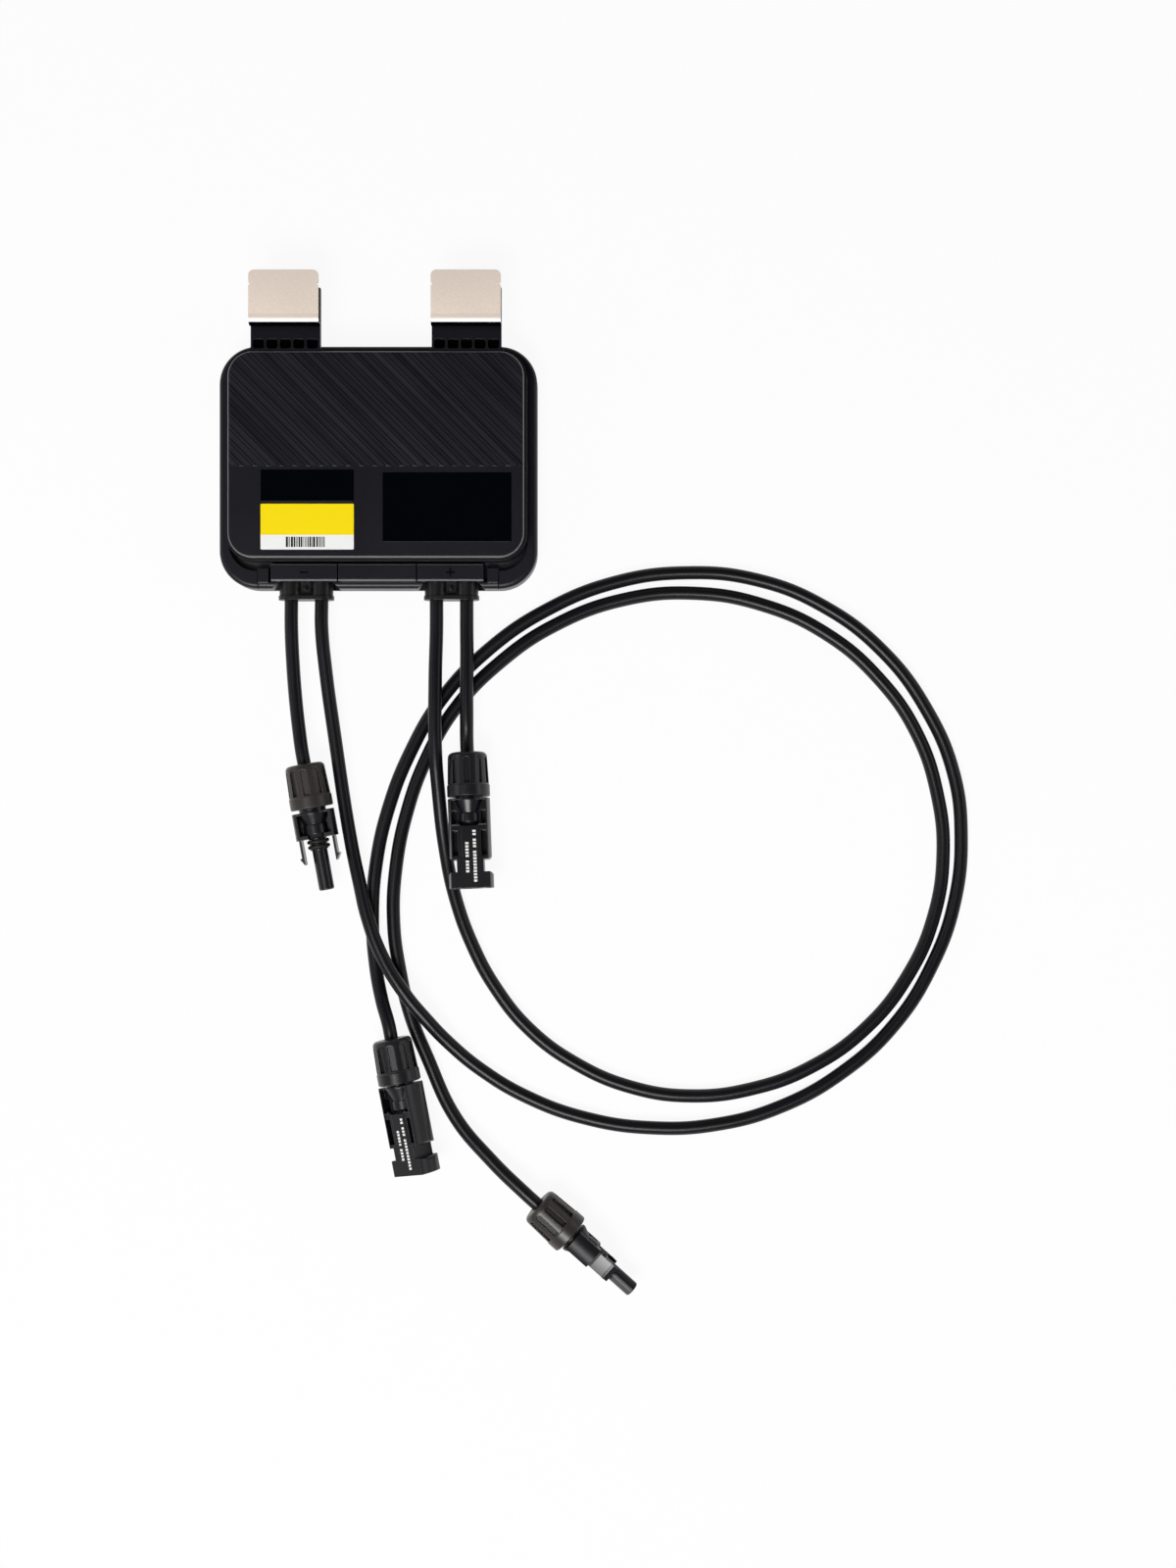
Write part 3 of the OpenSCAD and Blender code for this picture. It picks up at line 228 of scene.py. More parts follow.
class FinishSettings(PropertyGroup):
    """Colours of the moulded and metal pieces"""

    housing: colour("Housing", "0f0f19", "Base, cover and clamp blocks")
    # This colour also gives the painted highlights along the rounded edges of the mouldings
    edge: colour("Worn edge", "6d6a69", "Edges of the mouldings where they are rubbed")
    nut: colour("Nut", "322d2b", "Fluted nuts of the plug couplers")
    dull: colour("Dull nut", "18171b", "Fluted nuts of the socket couplers")
    coupler: colour("Coupler", "111117", "Housings of the couplers")
    rubber: colour("Rubber", "0b0a0d", "Glands, seals and rings")
    steel: colour("Clip steel", "ffeee0", "Folded clips")
    mark: colour("Coupler mark", "e9e8e4", "Index marks on the socket couplers")


class StageSettings(PropertyGroup):
    """Camera and light"""

    eye_x: length("Camera x", 91.3, "Place of the camera along the cable edge")
    eye_y: length("Camera y", -150.1, "Place of the camera towards the clips")
    eye_z: length("Camera height", 880.0, "Height of the camera over the table")
    lens: amount("Lens", 45.77, "Focal length in millimetres", "CAMERA", 10)
    horizon: amount("Horizon", 0.5, "Strength of the light from low all round")
    zenith: amount("Zenith", 0.06, "Strength of the light from straight above")
    key: amount("Key", 23.0, "Power of the softbox at the front, in watts", "POWER")
    top: amount("Top", 0.9, "Power of the softbox over the left side, in watts", "POWER")
    fill: amount("Fill", 1.4, "Power of each strip at the sides, in watts", "POWER")


class Value:
    """A number that varies over a surface. Arithmetic with it adds Math nodes."""

    def __init__(self, finish, socket):
        self.finish = finish
        self.socket = socket

    def with_math(self, operation, first, second):
        return self.finish.node("ShaderNodeMath", {"operation": operation}, {0: first, 1: second})

    def __add__(self, other):
        return self.with_math("ADD", self, other)

    def __sub__(self, other):
        return self.with_math("SUBTRACT", self, other)

    def __rsub__(self, other):
        return self.with_math("SUBTRACT", other, self)

    def __mul__(self, other):
        return self.with_math("MULTIPLY", self, other)

    def __gt__(self, other):
        return self.with_math("GREATER_THAN", self, other)

    def __lt__(self, other):
        return self.with_math("LESS_THAN", self, other)

    __radd__ = __add__
    __rmul__ = __mul__

    def fraction(self):
        return self.with_math("FRACT", self, 0.0)

    def size(self):
        return self.with_math("ABSOLUTE", self, 0.0)

    def clipped(self):
        return self.finish.node("ShaderNodeClamp", {}, {"Value": self})


class Finish:
    """A material and the nodes that make it."""

    def __init__(self, name):
        self.material = bpy.data.materials.new(name)
        self.material.use_nodes = True
        self.tree = self.material.node_tree
        self.tree.nodes.clear()
        self.shader = self.tree.nodes.new("ShaderNodeBsdfPrincipled")
        self.output = self.tree.nodes.new("ShaderNodeOutputMaterial")
        self.tree.links.new(self.shader.outputs[0], self.output.inputs["Surface"])

    def node(self, kind, settings, sockets, out=0):
        """Adds a node: its settings first, then the values or links of its sockets."""
        made = self.tree.nodes.new(kind)
        for name, value in settings.items():
            setattr(made, name, value)
        for name, value in sockets.items():
            self.feed(made.inputs[name], value)
        return Value(self, made.outputs[out])

    def feed(self, socket, value):
        if isinstance(value, Value):
            self.tree.links.new(value.socket, socket)
        elif hasattr(value, "__len__") and len(value) == 3 and socket.type == "RGBA":
            socket.default_value = (*value, 1)
        else:
            socket.default_value = value

    def place(self, scale=(1, 1, 1), turn=0.0):
        at = self.node("ShaderNodeTexCoord", {}, {}, "Object")
        if scale == (1, 1, 1):
            return at
        turned = self.node("ShaderNodeMapping", {}, {"Vector": at, "Rotation": (0, 0, turn)})
        return self.node("ShaderNodeMapping", {}, {"Vector": turned, "Scale": scale})

    def noise(self, at, scale, detail=2.0, rough=0.5):
        sockets = {"Vector": at, "Scale": scale, "Detail": detail, "Roughness": rough}
        return self.node("ShaderNodeTexNoise", {}, sockets)

    def mix(self, share, first, second):
        return self.node("ShaderNodeMix", {"data_type": "RGBA"}, {0: share, 6: first, 7: second}, 2)

    def rounded(self, radius):
        return self.node("ShaderNodeBevel", {"samples": 6}, {"Radius": radius})

    def along(self, axis, at):
        return self.node("ShaderNodeSeparateXYZ", {}, {0: at}, axis)

    def edges(self, rounded):
        """How far an edge is turned away from its face: 0 on flats, more along edges."""
        facing = self.node("ShaderNodeNewGeometry", {}, {}, "Normal")
        dot = {"operation": "DOT_PRODUCT"}
        along = self.node("ShaderNodeVectorMath", dot, {0: rounded, 1: facing}, "Value")
        return (1 - along).clipped()

    def hollow_shade(self, reach):
        """How far a spot is shut in by its surroundings: 0 in the open, more in grooves; it sets
        the painted shade there.
        """
        near = {"Distance": reach}
        return 1 - self.node("ShaderNodeAmbientOcclusion", {"samples": 8}, near, "AO")

    def bump(self, height, strength, depth, normal=None):
        sockets = {"Strength": strength, "Distance": depth, "Height": height}
        if normal is not None:
            sockets["Normal"] = normal
        return self.node("ShaderNodeBump", {}, sockets)

    def surface(self, **sockets):
        """Feeds the main shader, whose sockets are named with _ for a space."""
        for name, value in sockets.items():
            self.feed(self.shader.inputs[name.replace("_", " ")], value)
        return self.material

    def blend(self, share, other):
        """Gives another shader its share of the surface."""
        sides = {0: share, 1: Value(self, self.shader.outputs[0]), 2: other}
        both = self.node("ShaderNodeMixShader", {}, sides)
        self.tree.links.new(both.socket, self.output.inputs["Surface"])

    def paint_black_shade(self, mask):
        """Painted shade: turns matte black where the mask is 1, standing in for the shade of deep
        holes and grooves.
        """
        shade_black = {"Base Color": (0.001, 0.001, 0.001), "Roughness": 1.0, "Specular IOR Level": 0.0}
        self.blend(mask, self.node("ShaderNodeBsdfPrincipled", {}, shade_black))


def shade(tone, share):
    """A colour made darker or lighter."""
    return tuple(v * share for v in tone)


def moulded(name, tone, edge, rough, specular, grain, depth, rounding, edge_wear_and_highlight=0.5, painted_light_and_marks=None):
    """Moulded plastic: fine grain, cloudy gloss, lighter edges for wear and painted highlight,
    painted shade in grooves, and the further painted light and streaks of an optional function.
    """
    finish = Finish(name)
    at = finish.place()
    fine = finish.noise(at, grain, 3, 0.6)
    cloud = finish.noise(at, 26, 3)
    rounded = finish.rounded(rounding)
    # Lighter edges: partly wear, partly a painted highlight along them
    worn_and_highlit_edge = (finish.edges(rounded) * 5 * cloud).clipped() * edge_wear_and_highlight
    base = finish.mix(cloud, shade(tone, 0.8), shade(tone, 1.22))
    base = finish.mix(fine, shade(tone, 0.6), base)
    base = finish.mix(worn_and_highlit_edge, base, edge)
    # Painted shade: darker in grooves, corners and gaps between parts, where shade falls
    base = finish.mix((finish.hollow_shade(1.8 * MM) * 1.5).clipped(), base, shade(tone, 0.1))
    if painted_light_and_marks:
        base = painted_light_and_marks(finish, at, base, edge)
    return finish.surface(
        Specular_IOR_Level=specular,
        Base_Color=base,
        Roughness=rough + (fine - 0.5) * 0.14 + (cloud - 0.5) * 0.14,
        Normal=finish.bump(fine, depth, 0.25 * MM, rounded),
    )


def painted_edge_highlight(finish, at, base, edge, low, share=0.9):
    """Painted highlight: lightens the rounded edges that stand higher than low, most where they
    slope halfway up.
    """
    upright = finish.along("Z", finish.node("ShaderNodeNewGeometry", {}, {}, "Normal"))
    crest_highlight = (upright * (1 - upright) * 4).clipped() * (finish.along("Z", at) > low)
    return finish.mix(crest_highlight * share, base, shade(edge, 1.6))


def block_edge_highlight(finish, at, base, edge):
    """Painted highlight along the upper edges of a clamp block."""
    return painted_edge_highlight(finish, at, base, edge, BLOCK_Z - CREST_DROP)


def cover_light_and_streaks(finish, at, base, edge):
    """Painted highlight on the face's rounded edge, painted shade along the ribs' sides and in the
    pockets, and streaks on the ribs.
    """
    cover = bpy.context.scene.optimizer_cover
    across, back, up = (finish.along(axis, at) for axis in "XYZ")
    ribbed = (back > cover.rib_low) * (up > FACE_Z - 0.05 * MM)
    turn = (across + back - (cover.rib_first + cover.rib_low)) * (1 / cover.rib_pitch) + 0.5
    half_rib = cover.rib_width / cover.rib_pitch / 2
    beside = ((turn.fraction() - 0.5).size() - half_rib).size() * cover.rib_pitch
    line = (1 - beside * (1 / cover.rib_shade_width)).clipped()
    streak = finish.noise(finish.place((340, 9, 1), math.radians(-45)), 1.0, 2)
    base = finish.mix(ribbed * (streak - 0.35).clipped() * 0.3, base, paint("66666c"))
    in_row = (across.size() - TONGUE_X).size() < POCKET_ROW / 2
    pocket_shade = (back > POCKET_Y) * (back < POCKET_Y + POCKET_LENGTH) * in_row * (up < POCKET_SILL)
    # Painted shade: matte black along each side of a rib and on the pocket floors
    finish.paint_black_shade((ribbed * line * 0.95 + pocket_shade).clipped())
    # Less painted highlight on the edge near the lower ends of the ribs
    near_end, half_field = 1.2 * MM, 62 * MM
    rib_end = ((back - cover.rib_low).size() < near_end) * (across.size() < half_field)
    return painted_edge_highlight(finish, at, base, edge, FACE_Z - CREST_DROP, 0.9 - rib_end * 0.82)


def arm_painted_reflection(finish, at, base, edge):
    """Painted reflection on the snap arm's face, lighter on one half, and a painted highlight on
    the nose's flat, on the plug that lies on its side.
    """
    (x, y, _), heading, _, _ = COUPLERS["plus_output"]
    cosine, sine = math.cos(math.radians(heading)), math.sin(math.radians(heading))
    across, back = finish.along("X", at) - x * MM, finish.along("Y", at) - y * MM
    reach, aside = across * cosine + back * sine, back * cosine - across * sine
    arm_start, arm_end, arm_low, nose_start, flat_end = (v * MM for v in (33.9, 41.3, 11, 45, 0.8))
    arm_reflection_grey, nose_highlight_grey = (0.55, 0.55, 0.56), (0.075, 0.075, 0.078)
    # Painted reflection on the arm's face, and a painted highlight on the nose's flat
    face = (reach > arm_start) * (reach < arm_end) * (finish.along("Z", at) > arm_low)
    base = finish.mix(face * (aside * 90 + 0.5).clipped() * 0.8, base, arm_reflection_grey)
    nose_highlight = (reach > nose_start) * (aside < flat_end)
    return finish.mix(nose_highlight * 0.8, base, nose_highlight_grey)


def soft_rubber(name, tone, rough, specular=0.4):
    """Matte rubber with a fine grain."""
    finish = Finish(name)
    at = finish.place()
    fine = finish.noise(at, 1900, 2)
    cloud = finish.noise(at, 40, 3)
    rounded = finish.rounded(0.35 * MM)
    return finish.surface(
        Specular_IOR_Level=specular,
        Base_Color=finish.mix(cloud, shade(tone, 0.75), shade(tone, 1.3)),
        Roughness=rough + (fine - 0.5) * 0.2,
        Normal=finish.bump(fine, 0.12, 0.2 * MM, rounded),
    )


def jacket(name, tone):
    """Extruded lead jacket: satin, with faint waves from its drawing."""
    finish = Finish(name)
    at = finish.place()
    fine = finish.noise(at, 1500, 2)
    wave = finish.noise(at, 70, 3)
    return finish.surface(
        Specular_IOR_Level=0.25,
        Base_Color=finish.mix(wave, shade(tone, 0.8), shade(tone, 1.2)),
        Roughness=0.32 + (wave - 0.5) * 0.1 + (fine - 0.5) * 0.06,
        Normal=finish.bump(fine, 0.005, 0.2 * MM),
    )


def satin_steel(name, tone):
    """Rolled stainless strip: speckle and smudges, darker away from the fold, a painted highlight
    along the fold, and painted shade on the fold's nose, where the plate starts to bend and along
    the rear leg's sides.
    """
    finish = Finish(name)
    at = finish.place()
    nose_shade_end, highlight_end, bend_shade_end, side, leg_top = (v * MM for v in (1.1, 2.4, 4.4, 1.1, 1.3))
    past_fold = finish.along("Y", at) - CLIP_LOW.y
    fold_highlight = (past_fold > nose_shade_end) * (past_fold < highlight_end)
    bend_shade = (past_fold > highlight_end) * (past_fold < bend_shade_end)
    aside = (finish.along("X", at).size() - TONGUE_X).size()
    rear_leg = finish.along("Z", at) < CLIP_LOW.z + leg_top
    leg_shade = (aside > (CLIP_HIGH.x - CLIP_LOW.x) / 2 - side) * rear_leg
    speckle = finish.noise(at, 1500, 2, 0.7)
    rolled = finish.noise(finish.place((900, 60, 900)), 1.0, 2)
    smudge = finish.noise(at, 62, 4, 0.6)
    rounded = finish.rounded(0.18 * MM)
    base = finish.mix((smudge * 1.6 - 0.3).clipped(), shade(tone, 0.95), tone)
    base = finish.mix((speckle * 2.6 - 0.9).clipped() * 0.7, base, shade(tone, 0.8))
    # Darker away from the fold, and painted shade where the plate starts to bend
    dimmed = (past_fold * 36 - 0.16).clipped() * 0.68 + bend_shade * 0.4
    base = finish.mix(dimmed, base, shade(tone, 0.72))
    # Painted highlight: a white band along the fold
    base = finish.mix(fold_highlight, base, (1, 1, 1))
    # Painted shade: matte black on the fold's nose and along the sides of the rear leg
    finish.paint_black_shade(((past_fold < nose_shade_end) + leg_shade).clipped())
    return finish.surface(
        Base_Color=base,
        Metallic=(0.3 + (smudge - 0.5) * 0.1) * (1 - fold_highlight),
        Roughness=0.58 + (speckle - 0.5) * 0.24 + (smudge - 0.5) * 0.16,
        Normal=finish.bump(speckle * 0.7 + rolled * 0.3, 0.08, 0.2 * MM, rounded),
    )


def bare_metal(name, tone, rough):
    """Plain metal with a cloudy tone."""
    finish = Finish(name)
    at = finish.place()
    fine = finish.noise(at, 1200, 3)
    cloud = finish.noise(at, 90, 3)
    return finish.surface(
        Base_Color=finish.mix(cloud, shade(tone, 0.8), tone),
        Metallic=0.95,
        Roughness=rough + (fine - 0.5) * 0.2,
        Normal=finish.bump(fine, 0.06, 0.2 * MM, finish.rounded(0.2 * MM)),
    )


def printed_film(name, tone, rough, specular):
    """Printed label film: faint screen dots and a cloudy gloss."""
    finish = Finish(name)
    at = finish.place()
    dots = finish.noise(at, 3000, 1)
    cloud = finish.noise(at, 120, 3)
    return finish.surface(
        Specular_IOR_Level=specular,
        Base_Color=finish.mix(dots, shade(tone, 0.94), tone),
        Roughness=rough + (cloud - 0.5) * 0.12,
        Normal=finish.bump(cloud, 0.04, 0.2 * MM),
    )


def fibre_board(name):
    """Green laminate with the weave of its glass cloth."""
    finish = Finish(name)
    at = finish.place()
    weave = finish.node("ShaderNodeTexChecker", {}, {"Vector": at, "Scale": 900.0}, "Fac")
    cloud = finish.noise(at, 60, 3)
    green = finish.mix(cloud, paint("0d3b22"), paint("175a35"))
    return finish.surface(
        Base_Color=finish.mix(weave * 0.25, green, paint("2a6b45")),
        Roughness=0.42 + (cloud - 0.5) * 0.2,
        Normal=finish.bump(weave, 0.05, 0.1 * MM),
    )


def fresh():
    """Deselects everything, so that the next operator acts on the new piece alone."""
    if bpy.context.object and bpy.context.object.mode != "OBJECT":
        bpy.ops.object.mode_set(mode="OBJECT")
    bpy.ops.object.select_all(action="DESELECT")


def pick(piece, kind, test):
    """Selects the faces, edges or vertices of a piece in edit mode that pass the test."""
    bpy.ops.mesh.select_mode(type=kind)
    bpy.ops.mesh.select_all(action="DESELECT")
    mesh = bmesh.from_edit_mesh(piece.data)
    for item in {"FACE": mesh.faces, "EDGE": mesh.edges, "VERT": mesh.verts}[kind]:
        item.select_set(bool(test(item)))
    mesh.select_flush_mode()
    bmesh.update_edit_mesh(piece.data)


def sheet_of(name, x0, x1, y0, y1, z):
    """A flat sheet in edit mode, to be cut and raised."""
    fresh()
    bpy.ops.mesh.primitive_plane_add(size=1, location=((x0 + x1) / 2, (y0 + y1) / 2, z))
    piece = bpy.context.active_object
    piece.name = name
    piece.data.name = name
    piece.scale = (x1 - x0, y1 - y0, 1)
    bpy.ops.object.transform_apply(location=True, rotation=True, scale=True)
    bpy.ops.object.mode_set(mode="EDIT")
    return piece


def cut(point, normal):
    """Cuts every face of the piece in edit mode along a plane."""
    bpy.ops.mesh.select_all(action="SELECT")
    bpy.ops.mesh.bisect(plane_co=point, plane_no=normal)


def raised(height):
    """Raises the selected faces into a solid."""
    bpy.ops.mesh.extrude_region_move(TRANSFORM_OT_translate={"value": (0, 0, height)})


def closed(angle=math.radians(35)):
    """Leaves edit mode with outward normals and smooth rounds."""
    bpy.ops.mesh.select_all(action="SELECT")
    bpy.ops.mesh.normals_make_consistent(inside=False)
    bpy.ops.object.mode_set(mode="OBJECT")
    bpy.ops.object.shade_smooth_by_angle(angle=angle)


def plate(name, x0, x1, y0, y1, z0, z1, radius, edge):
    """A thin plate with round corners and a softened upper edge."""
    piece = sheet_of(name, x0, x1, y0, y1, z0)
    bpy.ops.mesh.select_all(action="SELECT")
    bpy.ops.mesh.bevel(offset=radius, segments=5, affect="VERTICES")
    bpy.ops.mesh.select_all(action="SELECT")
    raised(z1 - z0)
    pick(piece, "EDGE", lambda e: all(v.co.z > (z0 + z1) / 2 for v in e.verts))
    bpy.ops.mesh.bevel(offset=edge, segments=2, affect="EDGES")
    closed(math.radians(20))
    return piece


def bars(name, spans, y0, y1, z):
    """A row of thin printed bars on a face at the height z."""
    piece = sheet_of(name, spans[0][0], spans[-1][1], y0, y1, z - SINK)
    for x in sorted(x for span in spans for x in span)[1:-1]:
        cut((x, 0, 0), (1, 0, 0))
    pick(piece, "FACE", lambda f: not any(a < f.calc_center_median().x < b for a, b in spans))
    bpy.ops.mesh.delete(type="FACE")
    bpy.ops.mesh.select_all(action="SELECT")
    raised(BAR_THICKNESS)
    closed()
    return piece


def seat(piece, material, replaced=()):
    """Gives a finished piece its material and its place in the frame."""
    piece.data.materials.clear()
    piece.data.materials.append(material)
    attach(piece, "root")
    if replaced:
        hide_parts(*replaced)
    return piece


def joined(name, pieces):
    """Joins copies of one modelled shape."""
    fresh()
    for piece in pieces:
        piece.select_set(True)
    bpy.context.view_layer.objects.active = pieces[0]
    if len(pieces) > 1:
        bpy.ops.object.join()
    pieces[0].name = name
    pieces[0].data.name = name
    return pieces[0]


def copied(piece):
    """A copy with its own mesh, left selected and active."""
    fresh()
    piece.select_set(True)
    bpy.context.view_layer.objects.active = piece
    bpy.ops.object.duplicate(linked=False)
    return bpy.context.active_object


def set_in(piece, matrix):
    """Puts a piece that was modelled at the origin in its place, in its mesh."""
    fresh()
    piece.select_set(True)
    bpy.context.view_layer.objects.active = piece
    piece.matrix_world = matrix
    bpy.ops.object.transform_apply(location=True, rotation=True, scale=True)


def coupler_place(name):
    """The frame of a coupler: its axis along X from the nut's cable end."""
    at, heading, rise, roll = COUPLERS[name]
    turn = (
        Matrix.Rotation(math.radians(heading), 4, "Z")
        @ Matrix.Rotation(math.radians(-rise), 4, "Y")
        @ Matrix.Rotation(math.radians(roll), 4, "X")
    )
    return Matrix.Translation(Vector(at) * MM) @ turn


def dress(material, *names):
    """Gives the solids of these nodes their material."""
    for name in names:
        NODES[name].data.materials.clear()
        NODES[name].data.materials.append(material)


class OPTIMIZER_OT_stage(Operator):
    """Camera straight above the table, pale floor and soft studio light"""

    bl_idname = "optimizer.stage"
    bl_label = "Stage"

    def execute(self, context):
        stage = context.scene.optimizer_stage
        eye = Vector((stage.eye_x, stage.eye_y, stage.eye_z))
        fresh()
        bpy.ops.object.camera_add(location=eye, rotation=(0, 0, 0))
        camera = bpy.context.active_object
        camera.data.sensor_fit = "VERTICAL"
        camera.data.sensor_height = 36
        camera.data.lens = stage.lens
        camera.data.clip_end = 50
        context.scene.camera = camera
        context.scene.view_settings.view_transform = "Standard"
        self.floor(eye)
        self.sky(context, stage)
        for place, width, height, power in SOFTBOXES:
            self.softbox(place, width, height, getattr(stage, power))
        return {"FINISHED"}

    def softbox(self, place, width, height, power):
        fresh()
        turn = (LAMP_AIM - Vector(place)).to_track_quat("-Z", "Y").to_euler()
        bpy.ops.object.light_add(type="AREA", location=place, rotation=turn)
        lamp = bpy.context.active_object.data
        lamp.shape = "RECTANGLE"
        lamp.size = width
        lamp.size_y = height
        lamp.energy = power

    def floor(self, eye):
        """White table top under the camera, which still takes the shadows."""
        fresh()
        under = (eye.x, eye.y, -0.2 * MM)
        bpy.ops.mesh.primitive_circle_add(vertices=96, radius=6, fill_type="NGON", location=under)
        floor = bpy.context.active_object
        floor.name = "table"
        bpy.ops.object.transform_apply(location=True)
        finish = Finish("table white")
        rays = ("Is Camera Ray", "Is Glossy Ray", "Is Transmission Ray")
        camera, glossy, through = (finish.node("ShaderNodeLightPath", {}, {}, ray) for ray in rays)
        seen = (camera + glossy + through).clipped()
        grain = finish.noise(finish.place(), 40, 2)
        pale = finish.mix(grain, (0.8, 0.8, 0.8), (0.84, 0.84, 0.84))
        finish.surface(Base_Color=pale, Roughness=0.9, Specular_IOR_Level=0.0)
        glow = finish.node("ShaderNodeEmission", {}, {"Color": (1, 1, 1), "Strength": 1.0})
        finish.blend(seen * FLOOR_GLOW, glow)
        floor.data.materials.append(finish.material)

    def sky(self, context, stage):
        """Bright low surroundings under a dim ceiling."""
        world = bpy.data.worlds.new("studio")
        world.use_nodes = True
        context.scene.world = world
        tree = world.node_tree
        way = tree.nodes.new("ShaderNodeTexCoord")
        part = tree.nodes.new("ShaderNodeSeparateXYZ")
        level = tree.nodes.new("ShaderNodeMapRange")
        level.interpolation_type = "SMOOTHSTEP"
        level.inputs["From Min"].default_value = 0.0
        level.inputs["From Max"].default_value = 0.85
        level.inputs["To Min"].default_value = stage.horizon
        level.inputs["To Max"].default_value = stage.zenith
        tree.links.new(way.outputs["Generated"], part.inputs[0])
        tree.links.new(part.outputs["Z"], level.inputs["Value"])
        tree.links.new(level.outputs[0], tree.nodes["Background"].inputs["Strength"])
        tree.nodes["Background"].inputs["Color"].default_value = (1, 1, 1, 1)


class OPTIMIZER_OT_leads(Operator):
    """The four leads, from their glands to the nuts of their couplers"""

    bl_idname = "optimizer.leads"
    bl_label = "Leads"

    def execute(self, context):
        settings = context.scene.optimizer_leads
        material = jacket("lead jacket", settings.jacket)
        straight, run_in = 12 * MM, 6 * MM
        for name, start in EXITS.items():
            place = coupler_place(name)
            mouth = place.translation
            axis = (place.to_3x3() @ Vector((1, 0, 0))).normalized()
            leave = Vector(start) * MM
            points = [leave, leave - Vector((0, straight, 0))]
            points += [Vector(p) * MM for p in ROUTES[name]]
            points += [mouth - run_in * axis, mouth - SINK * axis]
            lead = self.drawn(name + "_jacket", points, settings.thickness)
            seat(lead, material, [name + "_lead"])
        return {"FINISHED"}

    def drawn(self, name, points, thickness):
        line = bpy.data.curves.new(name, "CURVE")
        line.dimensions = "3D"
        line.resolution_u = 10
        line.bevel_depth = thickness / 2
        line.bevel_resolution = 7
        line.use_fill_caps = True
        run = line.splines.new("BEZIER")
        run.bezier_points.add(len(points) - 1)
        for spot, point in zip(run.bezier_points, points):
            spot.co = point
            spot.handle_left_type = "AUTO"
            spot.handle_right_type = "AUTO"
        lead = bpy.data.objects.new(name, line)
        bpy.context.scene.collection.objects.link(lead)
        return lead


class OPTIMIZER_OT_finishes(Operator):
    """Finishes of the moulded, rubber and metal pieces"""

    bl_idname = "optimizer.finishes"
    bl_label = "Finishes"

    def execute(self, context):
        tones = context.scene.optimizer_finishes
        self.housing(tones)
        self.couplers(tones)
        self.inside()
        return {"FINISHED"}

    def housing(self, tones):
        satin = {"rough": 0.36, "specular": 0.33, "grain": 2300, "depth": 0.2}
        plastic = (tones.housing, tones.edge)
        black = moulded(
            "housing black", *plastic, **satin, rounding=0.4 * MM, edge_wear_and_highlight=0.25, painted_light_and_marks=block_edge_highlight
        )
        cover = moulded(
            "cover black", *plastic, **satin, rounding=0.25 * MM, edge_wear_and_highlight=0.15, painted_light_and_marks=cover_light_and_streaks
        )
        rubber = soft_rubber("gland rubber", tones.rubber, 0.36)
        dress(black, "base_housing", "minus_clamp_block", "plus_clamp_block")
        dress(cover, "front_cover")
        dress(rubber, "minus_gland", "plus_gland", "cover_gasket")
        dress(satin_steel("clip steel", tones.steel), "frame_clip_left", "frame_clip_right")

    def couplers(self, tones):
        fluted = {"edge": tones.edge, "grain": 1700, "depth": 0.04, "rounding": 0.3 * MM}
        smooth = {"edge": tones.edge, "grain": 2400, "depth": 0.02, "rounding": 0.4 * MM}
        brown = moulded("nut brown black", tones.nut, rough=0.36, specular=0.42, edge_wear_and_highlight=0.9, **fluted)
        dull = moulded("nut black", tones.dull, rough=0.32, specular=0.45, edge_wear_and_highlight=0.6, **fluted)
        body = moulded(
            "coupler black", tones.coupler, rough=0.3, specular=0.45, edge_wear_and_highlight=0.3, **smooth
        )
        arm = moulded(
            "coupler dull black",
            tones.coupler,
            rough=0.42,
            specular=0.28,
            edge_wear_and_highlight=0.3,
            painted_light_and_marks=arm_painted_reflection,
            **smooth,
        )
        seal = soft_rubber("seal rubber", tones.rubber, 0.55)
        tin = bare_metal("contact tin", paint("c9c6bf"), 0.3)
        for name in COUPLERS:
            dress(brown if name in ("minus_input", "plus_output") else dull, name + "_nut")
            dress(arm if name == "plus_output" else body, name + "_housing")
            dress(seal, name + "_seal", *(n for n in NODES if n == name + "_rings"))
            dress(tin, name + "_contact")

    def inside(self):
        for node, (name, code, rough) in INNER_METALS.items():
            dress(bare_metal(name, paint(code), rough), node)
        dress(soft_rubber("pad silicone", paint("8b97a8"), 0.7), "thermal_pad")
        dress(fibre_board("board laminate"), "circuit_board")
        for name, code, edge, rough, grain, depth, rounding, *nodes in INNER_MOULDINGS:
            tones = (paint(code), paint(edge))
            dress(moulded(name, *tones, rough, 0.3, grain, depth, rounding * MM), *nodes)


class OPTIMIZER_OT_rib_ends(Operator):
    """Sloped lower ends of the slanted ribs on the cover"""

    bl_idname = "optimizer.rib_ends"
    bl_label = "Rib ends"

    def execute(self, context):
        size = context.scene.optimizer_cover
        half = size.rib_width / 2
        first = sheet_of("rib_ends", -half, half, -size.rib_run, 0, -SINK)
        bpy.ops.mesh.select_all(action="SELECT")
        raised(0.65 * RIB_RISE)
        pick(first, "VERT", lambda v: v.co.z > 0 and v.co.y < -size.rib_run / 2)
        bpy.ops.transform.translate(value=(0, 0, -0.5 * RIB_RISE))
        closed()
        ends = [first] + [copied(first) for _ in range(size.rib_count - 1)]
        for order, end in enumerate(ends):
            at = Vector((size.rib_first + order * size.rib_pitch, size.rib_low, FACE_Z))
            set_in(end, Matrix.Translation(at))
        seat(joined("rib_ends", ends), NODES["front_cover"].data.materials[0])
        return {"FINISHED"}


